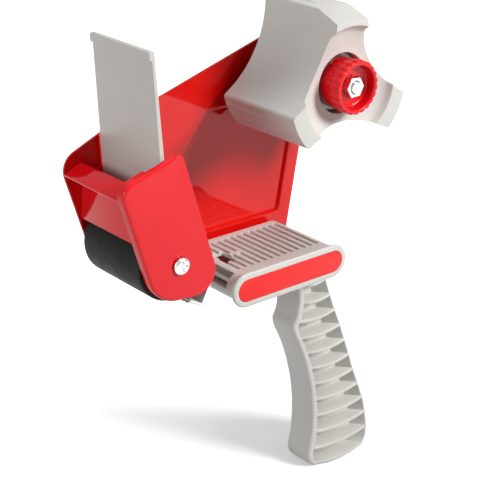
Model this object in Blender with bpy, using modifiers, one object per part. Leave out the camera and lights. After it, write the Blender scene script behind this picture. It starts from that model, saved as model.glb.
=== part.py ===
"""Pistol-grip packing tape dispenser.

Lengths are in metres and +Z is up. The roller end points to -X and the open side faces -Y.
The origin is the centre of the grip's flat foot, on the surface that the dispenser stands on.
Most places are worked out from three driving points: the roller's axis, the hub's axis and the platform.
"""

import math

import bmesh
import bpy
from mathutils import Matrix, Vector

# Driving dimensions
tape_width = 0.050
tape_side_play = 0.0015
sheet = 0.0012
fit_gap = 0.0003
running_gap = 0.0006
cut_overrun = 0.002
weld_distance = 0.000005
smooth_limit = math.radians(35)
grip_reach = 0.124
roller_height = 0.158
inner_half = tape_width / 2 + tape_side_play

# Head: its front and top edges lean forward by this angle
head_tilt = math.radians(17)
head_half_width = 0.0179
head_top = 0.0515
head_front_corner = 0.0072
head_rear_corner = 0.003
head_heel_corner = 0.011
plate_head_half_width = 0.0156
plate_head_front_top = 0.0484
plate_head_break = 0.0117
plate_head_corner = 0.010
cheek_flange = 0.005
cheek_flange_end = 0.002

# Roller
roller_radius = 0.0195
rubber_wall = 0.003
core_wall = 0.002
core_web = 0.002
core_collar = 0.0025
roller_near_recess = 0.0045
roller_far_recess = 0.0022
axle_radius = 0.004
bush_wall = 0.0015
bush_length = 0.008
bush_rim = 0.001
screw_radius = 0.002
screw_head_radius = 0.0045
screw_head_height = 0.0022
screw_length = 0.008
cross_slot_width = 0.0011
cross_slot_depth = 0.0010
cross_slot_arm_share = 0.6

# Crossbar: web and visor, as a bent sheet
web_foot_forward = 0.0186
web_foot_height = 0.0121
ridge_forward = 0.0161
ridge_height = 0.0405
visor_forward = 0.0270
visor_height = 0.0350
tab_low = 0.0215
tab_high = 0.0355
tab_eye_margin = 0.0022
rivet_radius = 0.0013
rivet_head_radius = 0.0024
rivet_head_height = 0.0009
rivet_crown_share = 0.6

# Tape flap, its pin and its spring
flap_pin_forward = 0.0049
flap_pin_height = 0.0265
flap_pin_radius = 0.0015
flap_barrel_wall = 0.0014
flap_thickness = 0.0028
flap_tip_thickness = 0.0017
flap_tip_width_share = 0.95
flap_height = 0.0755
flap_lean = math.radians(3.5)
flap_side_gap = 0.002
flap_lip_depth = 0.0013
flap_lip_height = 0.0042
spring_room = 0.0105
flap_spring_wire = 0.0007
flap_spring_turns = 5.25
flap_spring_pitch = 0.00135
flap_spring_play = 0.0005
flap_spring_leg = 0.009

# Blade and its holder, below and behind the roller
holder_top_back = 0.0206
holder_top_drop = 0.0105
holder_fold_back = 0.0135
holder_fold_drop = 0.0246
holder_toe_back = 0.0065
holder_toe_drop = 0.0206
holder_tab_width = 0.0060
holder_far_tab_back = 0.0300
holder_near_tab_back = 0.0092
holder_near_tab_rise = 0.0062
blade_flange_rivet = 0.0040
blade_thickness = 0.0006
blade_width = 0.0165
blade_tooth_pitch = 0.002
blade_tooth_depth = 0.0022
blade_side_gap = 0.0015
blade_rivet_spread = 0.015

# Side plate
plate_rear_foot_back = 0.1103
plate_rear_lean = math.radians(10.8)
plate_rear_corner = 0.014
plate_foot_corner = 0.006
plate_lobe_sweep = math.radians(110)
panel_depth = 0.0022
panel_rim = 0.0070
panel_front_back = 0.0370
panel_front_low_back = 0.0430
panel_front_low_height = 0.0335
panel_front_high_back = 0.0575
panel_corner = 0.004
panel_floor_above_platform = 0.0014
panel_below_washer = 0.0083
panel_wall = 0.0016

# Hub
hub_back = 0.1010
hub_above = 0.0685
hub_radius = 0.038
hub_waist = 0.0195
hub_lobe_half_angle = math.radians(15.0)
hub_length = 0.0569
hub_shell_stand = 0.0038
hub_wall = 0.0024
hub_cap = 0.0028
hub_dish_radius = 0.029
hub_dish_depth = 0.0065
hub_slope_length = 0.0175
hub_slope_drop = 0.0066
well_radius = 0.0153
well_wall = 0.002
well_depth = 0.0256
well_floor = 0.0025
hub_collar_wall = 0.0022
hub_bush_wall = 0.0014
friction_radius = 0.012
friction_thickness = 0.0012
stud_radius = 0.003
stud_head_radius = 0.00577
stud_head_height = 0.004
stud_washer_radius = 0.009
stud_tip = 0.0008

# Tension knob, washer and spring
knob_radius = 0.0134
knob_length = 0.0158
knob_skirt_radius = 0.0126
knob_cup_depth = 0.0056
knob_cup_wall = 0.0020
knob_flutes = 22
knob_flute_depth = 0.0006
knob_flute_length = 0.0075
knob_proud = 0.0051
knob_nut_height = 0.005
knob_nut_seat = 0.001
washer_radius = 0.0145
washer_thickness = 0.0012
tension_wire = 0.0016
tension_turns = 4
tension_radius = 0.0095

# Platform and grip, one moulding
platform_front_back = 0.0310
platform_length = 0.0742
platform_top_drop = 0.0152
platform_thickness = 0.0180
platform_wall = 0.0025
platform_near_wall = 0.0034
platform_near_overhang = 0.0018
platform_rim_step = 0.0020
platform_rim_length = 0.0030
platform_stand = 0.0045
groove_count = 13
groove_pitch = 0.0043
groove_width = 0.0020
groove_depth = 0.0011
groove_first_back = 0.0434
groove_margin_far = 0.0087
groove_margin_near = 0.0108
groove_land_count = 4
notch_back = 0.0472
notch_width = 0.0075
notch_length = 0.0125
notch_to_far_edge = 0.0208
nose_slot_width = 0.0038
nose_slot_margin = 0.0085
strip_rim = 0.0030
strip_thickness = 0.0012
boss_radius = 0.004
grip_screw_radius = 0.0017
grip_screw_length = 0.012
grip_screw_head_radius = 0.0034
grip_screw_head_height = 0.002
grip_screw_margin = 0.0145
grip_profile_depth = 0.061
grip_front_back = 0.084
grip_width = 0.0246
grip_front_wall = 0.0032
grip_rear_wall = 0.0075
grip_rear_rim = 0.0014
grip_rear_corner = 0.0016
grip_web = 0.0042
grip_rib = 0.0019
grip_rib_count = 11
grip_foot_wall = 0.0024
grip_top_land = 0.0029

# Edges of the grip from the platform's underside down: share of the profile's depth, share of the drop
grip_front_shares = [
    (0.00, 0.00), (0.074, 0.086), (0.108, 0.152), (0.095, 0.21), (0.080, 0.244), (0.046, 0.278),
    (0.064, 0.318), (0.107, 0.362), (0.148, 0.407), (0.182, 0.450), (0.211, 0.494), (0.234, 0.537),
    (0.256, 0.58), (0.272, 0.621), (0.282, 0.663), (0.291, 0.705), (0.293, 0.786), (0.282, 0.865),
    (0.264, 0.903), (0.2525, 0.941), (0.266, 0.968), (0.303, 0.988), (0.369, 1.0),
]
grip_rear_shares = [
    (0.354, 0.0), (0.42, 0.097), (0.475, 0.175), (0.538, 0.256), (0.605, 0.333), (0.664, 0.413),
    (0.724, 0.491), (0.783, 0.574), (0.877, 0.69), (0.936, 0.77), (0.972, 0.852), (0.984, 0.903),
    (0.976, 0.955), (0.93, 0.988), (0.86, 1.0),
]

# Half of the grip's level section behind its front wall: share of the way back, share of its half width
grip_bulge_shares = [(0.0, 0.752), (0.15, 0.911), (0.4, 1.0), (0.7, 0.943), (0.93, 0.829), (1.0, 0.78)]
nose_slot_angles = [math.radians(119), math.radians(165)]

# Half of a pan head's section from its crown out: share of its radius, share of its height
pan_head_shares = [(0.0, 1.0), (0.55, 0.95), (0.85, 0.7), (1.0, 0.3), (1.0, 0.0)]
lobe_angles = [math.radians(90), math.radians(-30), math.radians(210)]

# Derived places
roller_x = -grip_reach
roller_z = roller_height
hub_x = roller_x + hub_back
hub_z = roller_z + hub_above
plate_outer = inner_half + sheet
cheek_outer = -inner_half - sheet
core_radius = roller_radius - rubber_wall
roller_near = -inner_half + roller_near_recess
roller_far = inner_half - roller_far_recess
bush_radius = axle_radius + bush_wall
pin_x = roller_x - flap_pin_forward
pin_z = roller_z + flap_pin_height
flap_barrel_radius = flap_pin_radius + fit_gap + flap_barrel_wall
flap_half = inner_half - flap_side_gap
platform_x = roller_x + platform_front_back
platform_top = roller_z - platform_top_drop
platform_bottom = platform_top - platform_thickness
platform_end_radius = platform_thickness / 2
platform_mid = platform_top - platform_end_radius
platform_near = -inner_half - platform_near_overhang
platform_far = inner_half - platform_stand
boss_far = inner_half - fit_gap
hub_far = inner_half - 2 * fit_gap - friction_thickness
hub_near = hub_far - hub_length
hub_shell_far = hub_far - hub_shell_stand
well_floor_y = hub_near + well_depth
hub_bush_radius = stud_radius + fit_gap + hub_bush_wall
hub_collar_bore = hub_bush_radius + fit_gap
knob_near = hub_near - knob_proud
knob_far = knob_near + knob_length
knob_floor_y = knob_near + knob_cup_depth
nut_near = knob_floor_y + knob_nut_seat - knob_nut_height
stud_near = nut_near - stud_tip
body_top = platform_top - platform_rim_step
body_bottom = platform_bottom + platform_rim_step
body_front = platform_x + platform_rim_step
body_rear = platform_x + platform_length - platform_rim_step
holder_top = (roller_x + holder_top_back, roller_z - holder_top_drop)
holder_fold = (roller_x + holder_fold_back, roller_z - holder_fold_drop)
holder_toe = (roller_x + holder_toe_back, roller_z - holder_toe_drop)

# Colours: base colour, roughness, metallic
red_paint = (0.78, 0.025, 0.035, 1), 0.25, 0.0
grey_plastic = (0.45, 0.43, 0.40, 1), 0.45, 0.0
red_plastic = (0.62, 0.02, 0.025, 1), 0.35, 0.0
black_rubber = (0.02, 0.02, 0.02, 1), 0.6, 0.0
black_plastic = (0.05, 0.05, 0.05, 1), 0.5, 0.0
white_plastic = (0.75, 0.74, 0.70, 1), 0.4, 0.0
bright_steel = (0.62, 0.61, 0.60, 1), 0.22, 1.0
dark_fibre = (0.12, 0.08, 0.05, 1), 0.8, 0.0

along_y = Matrix.Rotation(math.pi / 2, 4, "X")


def clear_scene():
    """Remove every object that the file opened with."""
    for thing in list(bpy.data.objects):
        bpy.data.objects.remove(thing, do_unlink=True)


def new_collection(name):
    """Make a collection under the scene's own."""
    collection = bpy.data.collections.new(name)
    bpy.context.scene.collection.children.link(collection)
    return collection


def material(name, look):
    """A Principled material from a colour, a roughness and a metallic value."""
    colour, roughness, metallic = look
    made = bpy.data.materials.new(name)
    made.use_nodes = True
    shader = made.node_tree.nodes["Principled BSDF"]
    shader.inputs["Base Color"].default_value = colour
    shader.inputs["Roughness"].default_value = roughness
    shader.inputs["Metallic"].default_value = metallic
    return made


def finish(thing, look):
    """Give a sub-part its own material and smooth its round faces."""
    thing.data.materials.clear()
    thing.data.materials.append(material(thing.name, look))
    thing.data.shade_smooth()
    thing.data.set_sharp_from_angle(angle=smooth_limit)
    return thing


def as_cutter(thing):
    """Move a shape to the cutters, out of the render."""
    for owner in list(thing.users_collection):
        owner.objects.unlink(thing)
    cutters.objects.link(thing)
    thing.hide_render = True
    thing.display_type = "WIRE"
    return thing


def combine(thing, other, operation):
    """Cut or join a sub-part with another shape, which becomes a guide."""
    as_cutter(other)
    boolean = thing.modifiers.new(other.name, "BOOLEAN")
    boolean.operation = operation
    boolean.solver = "EXACT"
    boolean.object = other
    return thing


def arc(centre, radius, start, end, steps):
    """Points of an arc, its first and last included."""
    points = []
    for step in range(steps + 1):
        angle = start + (end - start) * step / steps
        points.append((centre[0] + radius * math.cos(angle), centre[1] + radius * math.sin(angle)))
    return points


def circle(centre, radius, steps=24):
    """Points of a circle that has this radius across its corners."""
    return arc(centre, radius, 0, 2 * math.pi, steps)[:-1]


def rounded(corners, radii, steps=5):
    """An outline with each corner replaced by an arc of its own radius."""
    points = []
    for index, corner in enumerate(corners):
        here = Vector(corner)
        before = (Vector(corners[index - 1]) - here).normalized()
        after = (Vector(corners[(index + 1) % len(corners)]) - here).normalized()
        radius = radii[index]
        if radius <= 0:
            points.append(tuple(here))
            continue
        half = before.angle(after) / 2
        centre = here + (before + after).normalized() * radius / math.sin(half)
        first = here + before * radius / math.tan(half) - centre
        last = here + after * radius / math.tan(half) - centre
        turn = first.angle_signed(last)
        for step in range(steps + 1):
            swing = -turn * step / steps
            spoke = Matrix.Rotation(swing, 2) @ first
            points.append(tuple(centre + spoke))
    return points


def stadium(x_low, x_high, z_low, z_high, steps=8):
    """An outline with two half-round ends."""
    radius = (z_high - z_low) / 2
    middle = (z_high + z_low) / 2
    rear = arc((x_high - radius, middle), radius, -math.pi / 2, math.pi / 2, steps)
    front = arc((x_low + radius, middle), radius, math.pi / 2, 3 * math.pi / 2, steps)
    return rear + front


def box_outline(x_low, x_high, z_low, z_high):
    """A rectangle as an outline."""
    return [(x_low, z_low), (x_high, z_low), (x_high, z_high), (x_low, z_high)]


def flat_piece(name, outlines, y_low, y_high, datum=(0, 0)):
    """A flat piece in the X-Z plane between two Y values; inner outlines are holes.

    The outlines are in world X and Z, and the object's origin is put at the datum.
    """
    curve = bpy.data.curves.new(name, "CURVE")
    curve.dimensions = "2D"
    curve.fill_mode = "BOTH"
    curve.extrude = (y_high - y_low) / 2
    for outline in outlines:
        spline = curve.splines.new("POLY")
        spline.points.add(len(outline) - 1)
        spline.use_cyclic_u = True
        for point, (x, z) in zip(spline.points, outline):
            point.co = (x - datum[0], z - datum[1], 0, 1)
    guide = bpy.data.objects.new(name + "_curve", curve)
    guide.location = (datum[0], (y_low + y_high) / 2, datum[1])
    guide.rotation_euler = (math.pi / 2, 0, 0)
    part.objects.link(guide)
    piece = mesh_from(guide, name)
    return piece


def mesh_from(guide, name):
    """Turn a curve object into a mesh object with welded caps, and remove the curve."""
    bpy.context.view_layer.update()
    evaluated = guide.evaluated_get(bpy.context.evaluated_depsgraph_get())
    mesh = bpy.data.meshes.new_from_object(evaluated)
    mesh.name = name
    shape = bmesh.new()
    shape.from_mesh(mesh)
    bmesh.ops.remove_doubles(shape, verts=shape.verts, dist=weld_distance)
    bmesh.ops.dissolve_degenerate(shape, dist=weld_distance, edges=shape.edges)
    bmesh.ops.recalc_face_normals(shape, faces=shape.faces)
    shape.to_mesh(mesh)
    shape.free()
    piece = bpy.data.objects.new(name, mesh)
    piece.matrix_world = guide.matrix_world
    part.objects.link(piece)
    bpy.data.objects.remove(guide, do_unlink=True)
    return piece


def from_bmesh(name, shape, place):
    """Make an object of a bmesh, at a place."""
    mesh = bpy.data.meshes.new(name)
    shape.to_mesh(mesh)
    shape.free()
    piece = bpy.data.objects.new(name, mesh)
    piece.location = place
    part.objects.link(piece)
    return piece


def rods(name, places, radius, y_low, y_high, segments=24, datum=(0, 0)):
    """One or more parallel rods along Y."""
    shape = bmesh.new()
    middle = (y_low + y_high) / 2
    for x, z in places:
        shift = Matrix.Translation((x - datum[0], 0, z - datum[1]))
        bmesh.ops.create_cone(shape, cap_ends=True, segments=segments, radius1=radius, radius2=radius,
                              depth=y_high - y_low, matrix=shift @ along_y)
    return from_bmesh(name, shape, (datum[0], middle, datum[1]))


def box(name, low, high):
    """A box between two corners."""
    shape = bmesh.new()
    size = Vector(high) - Vector(low)
    bmesh.ops.create_cube(shape, size=1, matrix=Matrix.Diagonal((*size, 1)))
    return from_bmesh(name, shape, (Vector(low) + Vector(high)) / 2)


def turned(name, profile, place, steps=32, closed=True):
    """A turned piece about an axis along Y; heights in the profile run towards -Y.

    The profile runs down its outer side. An open profile starts and ends on the axis.
    """
    mesh = bpy.data.meshes.new(name)
    edges = [(index, index + 1) for index in range(len(profile) - 1)]
    if closed:
        edges.append((len(profile) - 1, 0))
    mesh.from_pydata([(radius, 0, height) for radius, height in profile], edges, [])
    piece = bpy.data.objects.new(name, mesh)
    piece.location = place
    piece.rotation_euler = (math.pi / 2, 0, 0)
    part.objects.link(piece)
    screw = piece.modifiers.new("turn", "SCREW")
    screw.steps = steps
    screw.render_steps = steps
    screw.use_merge_vertices = True
    screw.merge_threshold = weld_distance
    return piece


def ring(name, inner, outer, y_low, y_high, axis, steps=32):
    """A plain turned ring about an axis along Y."""
    half = (y_high - y_low) / 2
    profile = [(outer, half), (outer, -half), (inner, -half), (inner, half)]
    return turned(name, profile, (axis[0], (y_low + y_high) / 2, axis[1]), steps)


def tube_along(name, points, radius, resolution=1):
    """A round wire along a list of points, with closed ends."""
    curve = bpy.data.curves.new(name, "CURVE")
    curve.dimensions = "3D"
    curve.bevel_depth = radius
    curve.bevel_resolution = resolution
    curve.use_fill_caps = True
    spline = curve.splines.new("POLY")
    spline.points.add(len(points) - 1)
    for point, place in zip(spline.points, points):
        point.co = (*place, 1)
    guide = bpy.data.objects.new(name + "_curve", curve)
    part.objects.link(guide)
    return mesh_from(guide, name)


def head_point(forward, up):
    """A place in the head's leaning frame, whose origin is the roller's axis, as world X and Z."""
    x = roller_x - forward * math.cos(head_tilt) - up * math.sin(head_tilt)
    z = roller_z - forward * math.sin(head_tilt) + up * math.cos(head_tilt)
    return (x, z)


def head_arc(radius, start, end, steps):
    """An arc about the roller's axis; its angles are measured from the head's forward direction."""
    points = []
    for step in range(steps + 1):
        angle = start + (end - start) * step / steps
        points.append(head_point(radius * math.cos(angle), radius * math.sin(angle)))
    return points


def head_corner(inset, top):
    """The rounded front top corner of the near cheek, with its sheet edge set in."""
    corners = [head_point(0, top - inset), head_point(head_half_width - inset, top - inset),
               head_point(head_half_width - inset, 0)]
    radius = head_front_corner - inset
    return rounded(corners, [0, radius, 0])[1:-1]


def hub_outline(inset=0.0):
    """The hub's three-lobed section, set in by a wall."""
    tip = hub_radius - inset
    waist = hub_waist - inset
    edge_shift = inset / hub_radius
    lobe_half = hub_lobe_half_angle - edge_shift
    hollow_half = math.pi / 3 - lobe_half
    reach = tip * math.cos(hollow_half)
    centre_distance = (tip ** 2 - waist ** 2) / (2 * (reach - waist))
    hollow_radius = centre_distance - waist
    sweep = math.asin(tip * math.sin(hollow_half) / hollow_radius)
    points = []
    for lobe in lobe_angles:
        points += arc((hub_x, hub_z), tip, lobe + lobe_half, lobe - lobe_half, 6)
        valley = lobe - math.pi / 3
        centre = (hub_x + centre_distance * math.cos(valley), hub_z + centre_distance * math.sin(valley))
        facing = valley + math.pi
        points += arc(centre, hollow_radius, facing - sweep, facing + sweep, 10)[1:-1]
    return points


def rivet_profile(grip_length):
    """Half of a rivet's section, from one head to the other, about its middle."""
    half = grip_length / 2
    top = half + rivet_head_height
    return [(0, top), (rivet_head_radius * rivet_crown_share, top), (rivet_head_radius, half + fit_gap / 2),
            (rivet_head_radius, half), (rivet_radius, half), (rivet_radius, -half),
            (rivet_head_radius, -half), (rivet_head_radius, -half - fit_gap / 2),
            (rivet_head_radius * rivet_crown_share, -top), (0, -top)]


def plate_rear_x(z):
    """Where the side plate's leaning rear edge lies at a height."""
    return roller_x + plate_rear_foot_back + (z - platform_bottom) * math.tan(plate_rear_lean)


def top_edge_z(x):
    """Height of the side plate's top edge, which runs straight back from the head's top."""
    corner_x, corner_z = head_point(0, head_top)
    return corner_z + (x - corner_x) * math.tan(head_tilt)


def plate_outline():
    """The side plate: head lobe, bottom edge, rear edge and the long top edge."""
    foot_x = plate_rear_x(platform_bottom)
    climb = top_edge_z(foot_x) - platform_bottom
    top_z = platform_bottom + climb / (1 - math.tan(plate_rear_lean) * math.tan(head_tilt))
    top_x = plate_rear_x(top_z)
    lobe = head_arc(plate_head_half_width, 0, -plate_lobe_sweep, 14)
    corners = [lobe[-1], (platform_x, platform_bottom), (foot_x, platform_bottom), (top_x, top_z),
               head_point(-plate_head_break, head_top),
               head_point(plate_head_half_width, plate_head_front_top), lobe[0]]
    radii = [0, plate_foot_corner, plate_foot_corner, plate_rear_corner, 0, plate_head_corner, 0]
    return lobe[:-1] + rounded(corners, radii)[:-1]


def panel_outline(inset):
    """The pressed panel of the side plate, set in by a wall."""
    low = body_top + panel_floor_above_platform + inset
    high = hub_z - stud_washer_radius - panel_below_washer - inset
    front = roller_x + panel_front_back + inset
    corners = [
        (front, low),
        (plate_rear_x(low) - panel_rim - inset, low),
        (plate_rear_x(high) - panel_rim - inset, high),
        (roller_x + panel_front_high_back + inset, high),
        (roller_x + panel_front_low_back + inset, roller_z + panel_front_low_height - inset),
        (front, roller_z + head_half_width - inset),
    ]
    return rounded(corners, [panel_corner - inset] * len(corners), 4)


def boxes(name, spans):
    """Several boxes as one shape, each given by its low and high corner."""
    shape = bmesh.new()
    for low, high in spans:
        size = Vector(high) - Vector(low)
        middle = (Vector(low) + Vector(high)) / 2
        bmesh.ops.create_cube(shape, size=1, matrix=Matrix.Translation(middle) @ Matrix.Diagonal((*size, 1)))
    return from_bmesh(name, shape, (0, 0, 0))


def bent_sheet(name, line, y_low, y_high):
    """A sheet that follows a line in the X-Z plane, solid about it."""
    shape = bmesh.new()
    rows = []
    for x, z in line:
        rows.append((shape.verts.new((x, y_low, z)), shape.verts.new((x, y_high, z))))
    for first, second in zip(rows, rows[1:]):
        shape.faces.new((first[0], first[1], second[1], second[0]))
    piece = from_bmesh(name, shape, (0, 0, 0))
    solid = piece.modifiers.new("thickness", "SOLIDIFY")
    solid.thickness = sheet
    solid.offset = 0
    solid.use_even_offset = True
    return piece


def along_line(start, end, distance):
    """The place at a distance along a line, and the line's direction."""
    direction = (Vector(end) - Vector(start)).normalized()
    return Vector(start) + direction * distance, direction


def grip_screw_places():
    """Three screws through the side plate into the platform."""
    front = platform_x + grip_screw_margin
    rear = platform_x + platform_length - grip_screw_margin
    return [(front, platform_mid), ((front + rear) / 2, platform_mid), (rear, platform_mid)]


def make_side_plate():
    """The long plate that carries everything, with its pressed panel."""
    outlines = [plate_outline(), circle((roller_x, roller_z), screw_radius + fit_gap, 16),
                circle((hub_x, hub_z), stud_radius + fit_gap, 16)]
    outlines += [circle(place, grip_screw_radius + fit_gap, 12) for place in grip_screw_places()]
    plate = flat_piece("side_plate", outlines, inner_half, plate_outer)
    bump = flat_piece("panel_bump", [panel_outline(0)], inner_half + sheet / 2, plate_outer + panel_depth)
    combine(plate, bump, "UNION")
    dish = flat_piece("panel_dish", [panel_outline(panel_wall)], inner_half - cut_overrun,
                      inner_half + panel_depth)
    combine(plate, dish, "DIFFERENCE")
    return finish(plate, red_paint)


def make_near_cheek():
    """The pan-shaped cheek with a rounded heel; its flange runs over the front top corner and round below."""
    lean = math.cos(head_tilt)
    lobe = head_arc(head_half_width, 0, head_tilt - math.pi / 2, 12)
    heel = -head_half_width * (1 + math.sin(head_tilt)) / lean
    rear = rounded([lobe[-1], head_point(-head_half_width, heel), head_point(-head_half_width, head_top),
                    head_point(0, head_top)], [0, head_heel_corner, head_rear_corner, 0])[1:-1]
    outer = lobe + rear + head_corner(0, head_top)
    hole = circle((roller_x, roller_z), screw_radius + fit_gap, 16)
    cheek = flat_piece("near_cheek", [outer, hole], cheek_outer, -inner_half)
    flange = flat_piece("cheek_flange", [outer], cheek_outer + sheet / 2, cheek_outer + cheek_flange)
    past = head_half_width + cut_overrun
    inner_lobe = head_arc(head_half_width - sheet, 0, head_tilt - math.pi / 2, 8)
    inner_lobe.append(head_point(0, (sheet - head_half_width) / lean))
    top_past, heel_past = head_top + cut_overrun, heel - cut_overrun
    pocket = inner_lobe + [head_point(0, heel_past), head_point(-past, heel_past), head_point(-past, top_past)]
    pocket += [head_point(cheek_flange_end, top_past), head_point(cheek_flange_end, head_top - sheet)]
    pocket += head_corner(sheet, head_top)
    hollow = flat_piece("cheek_hollow", [pocket], cheek_outer, cheek_outer + cheek_flange + cut_overrun)
    combine(flange, hollow, "DIFFERENCE")
    combine(cheek, flange, "UNION")
    return finish(cheek, red_paint)


def make_crossbar():
    """Web and visor between plate and cheek, with a welded tab at each end that carries the flap's pin."""
    foot = (roller_x - web_foot_forward, roller_z + web_foot_height)
    ridge = (roller_x - ridge_forward, roller_z + ridge_height)
    visor = (roller_x - visor_forward, roller_z + visor_height)
    reach = inner_half - fit_gap
    bar = bent_sheet("head_crossbar", [foot, ridge, visor], -reach, reach)
    eye = flap_pin_radius + fit_gap
    tab_rear = pin_x + eye + tab_eye_margin
    tab = box_outline(roller_x - ridge_forward - sheet, tab_rear, roller_z + tab_low, roller_z + tab_high)
    for side, y_low in (("near", -reach), ("far", reach - sheet)):
        hole = circle((pin_x, pin_z), eye, 16)
        flat = flat_piece("crossbar_tab_" + side, [tab, hole], y_low, y_low + sheet)
        combine(bar, flat, "UNION")
    return finish(bar, red_paint)


def make_roller():
    """Rubber sleeve on a hollow core with a middle web, turning on two bushes."""
    axis = (roller_x, roller_z)
    sleeve = ring("roller_sleeve", core_radius + fit_gap, roller_radius, roller_near, roller_far, axis, 48)
    finish(sleeve, black_rubber)
    half = (roller_far - roller_near) / 2
    middle = (roller_far + roller_near) / 2
    bore = bush_radius + fit_gap
    collar = bore + core_collar
    inner = core_radius - core_wall
    collar_half = half - bush_rim - fit_gap
    web = core_web / 2
    profile = [(core_radius, half), (core_radius, -half), (inner, -half), (inner, -web), (collar, -web),
               (collar, -collar_half), (bore, -collar_half), (bore, collar_half), (collar, collar_half),
               (collar, web), (inner, web), (inner, half)]
    core = turned("roller_core", profile, (roller_x, middle, roller_z), 36)
    finish(core, black_plastic)
    rim_radius = collar - fit_gap
    for side, end, facing in (("near", roller_near, 1), ("far", roller_far, -1)):
        shaft = axle_radius + fit_gap
        profile = [(rim_radius, 0), (rim_radius, -bush_rim), (bush_radius, -bush_rim),
                   (bush_radius, -bush_length), (shaft, -bush_length), (shaft, 0)]
        bush = turned("roller_bush_" + side, profile, (roller_x, end, roller_z), 24)
        bush.rotation_euler = (facing * math.pi / 2, 0, 0)
        finish(bush, white_plastic)


def make_roller_axle():
    """The fixed axle, tapped at both ends; it also spaces the cheek from the plate."""
    half = inner_half - fit_gap
    bore = screw_radius + fit_gap
    depth = half - screw_length
    profile = [(0, depth), (bore, depth), (bore, half), (axle_radius, half), (axle_radius, -half),
               (bore, -half), (bore, -depth), (0, -depth)]
    finish(turned("roller_axle", profile, (roller_x, 0, roller_z), 24, closed=False), bright_steel)


def pan_head_screw(name, place, facing, head_radius, head_height, shank_radius, length):
    """A pan-head screw with a cross slot; its head's underside is at the place."""
    profile = [(head_radius * across, head_height * up) for across, up in pan_head_shares]
    profile += [(shank_radius, 0), (shank_radius, -length), (0, -length)]
    screw = turned(name, profile, place, 24, closed=False)
    screw.rotation_euler = (facing * math.pi / 2, 0, 0)
    x, y, z = place
    ends = sorted((y - facing * (head_height + cut_overrun), y - facing * (head_height - cross_slot_depth)))
    arm = head_radius * cross_slot_arm_share
    half = cross_slot_width / 2
    for way, (wide, tall) in (("up", (half, arm)), ("across", (arm, half))):
        slot = box(f"{name}_slot_{way}", (x - wide, ends[0], z - tall), (x + wide, ends[1], z + tall))
        combine(screw, slot, "DIFFERENCE")
    return screw


def make_screws():
    """The two roller screws and the three screws that hold the grip."""
    length = screw_length - fit_gap
    near = pan_head_screw("roller_screw_near", (roller_x, cheek_outer - fit_gap, roller_z), 1,
                          screw_head_radius, screw_head_height, screw_radius, length)
    finish(near, bright_steel)
    far = pan_head_screw("roller_screw_far", (roller_x, plate_outer + fit_gap, roller_z), -1,
                         screw_head_radius, screw_head_height, screw_radius, length)
    finish(far, bright_steel)
    for row, (x, z) in zip(("front", "middle", "rear"), grip_screw_places()):
        screw = pan_head_screw("grip_screw_" + row, (x, plate_outer + fit_gap, z), -1, grip_screw_head_radius,
                               grip_screw_head_height, grip_screw_radius, grip_screw_length)
        finish(screw, bright_steel)


def taper_flap(flap):
    """Draw the flap's sides in towards its top."""
    to_world = flap.matrix_world
    back = to_world.inverted()
    for vertex in flap.data.vertices:
        place = to_world @ vertex.co
        climb = (place.z - pin_z) / flap_height
        place.y *= 1 - (1 - flap_tip_width_share) * climb
        vertex.co = back @ place


def make_flap():
    """The tape flap, hinged on its pin; a notch in its barrel leaves room for the spring."""
    base = Vector((pin_x, pin_z))
    up = Vector((-math.sin(flap_lean), math.cos(flap_lean)))
    across = Vector((math.cos(flap_lean), math.sin(flap_lean)))
    half = flap_thickness / 2
    tip_half = flap_tip_thickness / 2
    top = base + up * flap_height
    lip_out = top - across * (tip_half + flap_lip_depth)
    outline = [base + across * half, top + across * tip_half, lip_out, lip_out - up * flap_lip_height,
               top - across * tip_half - up * flap_lip_height, base - across * half]
    flap = flat_piece("tape_flap", [[tuple(p) for p in outline]], -flap_half, flap_half, (pin_x, pin_z))
    taper_flap(flap)
    barrel = rods("flap_barrel", [(pin_x, pin_z)], flap_barrel_radius, -flap_half, flap_half, 24)
    combine(flap, barrel, "UNION")
    bore = rods("flap_bore", [(pin_x, pin_z)], flap_pin_radius + fit_gap, -inner_half, inner_half, 20)
    combine(flap, bore, "DIFFERENCE")
    room = flap_barrel_radius + running_gap
    notch = box("flap_notch", (pin_x - room, -inner_half, pin_z - room),
                (pin_x + room, -flap_half + spring_room, pin_z + room))
    combine(flap, notch, "DIFFERENCE")
    finish(flap, grey_plastic)
    pin = rods("flap_pin", [(pin_x, pin_z)], flap_pin_radius, -inner_half + fit_gap, inner_half - fit_gap, 20,
               (pin_x, pin_z))
    finish(pin, bright_steel)


def coil_points(centre, radius, turns, pitch, start_angle, per_turn=9):
    """Points of a coil about an axis along Y; it winds towards +Y from its centre's Y."""
    points = []
    count = round(turns * per_turn)
    for step in range(count + 1):
        share = step / per_turn
        angle = start_angle + share * 2 * math.pi
        points.append((centre[0] + radius * math.cos(angle), centre[1] + pitch * share,
                       centre[2] + radius * math.sin(angle)))
    return points


def least_gap(points, wire_radius, per_turn=9):
    """Least clear distance between a coil's turns, measured on its points."""
    least = math.inf
    for index, point in enumerate(points):
        for other in points[index + per_turn - 2:]:
            least = min(least, math.dist(point, other) - 2 * wire_radius)
    return least


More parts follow.
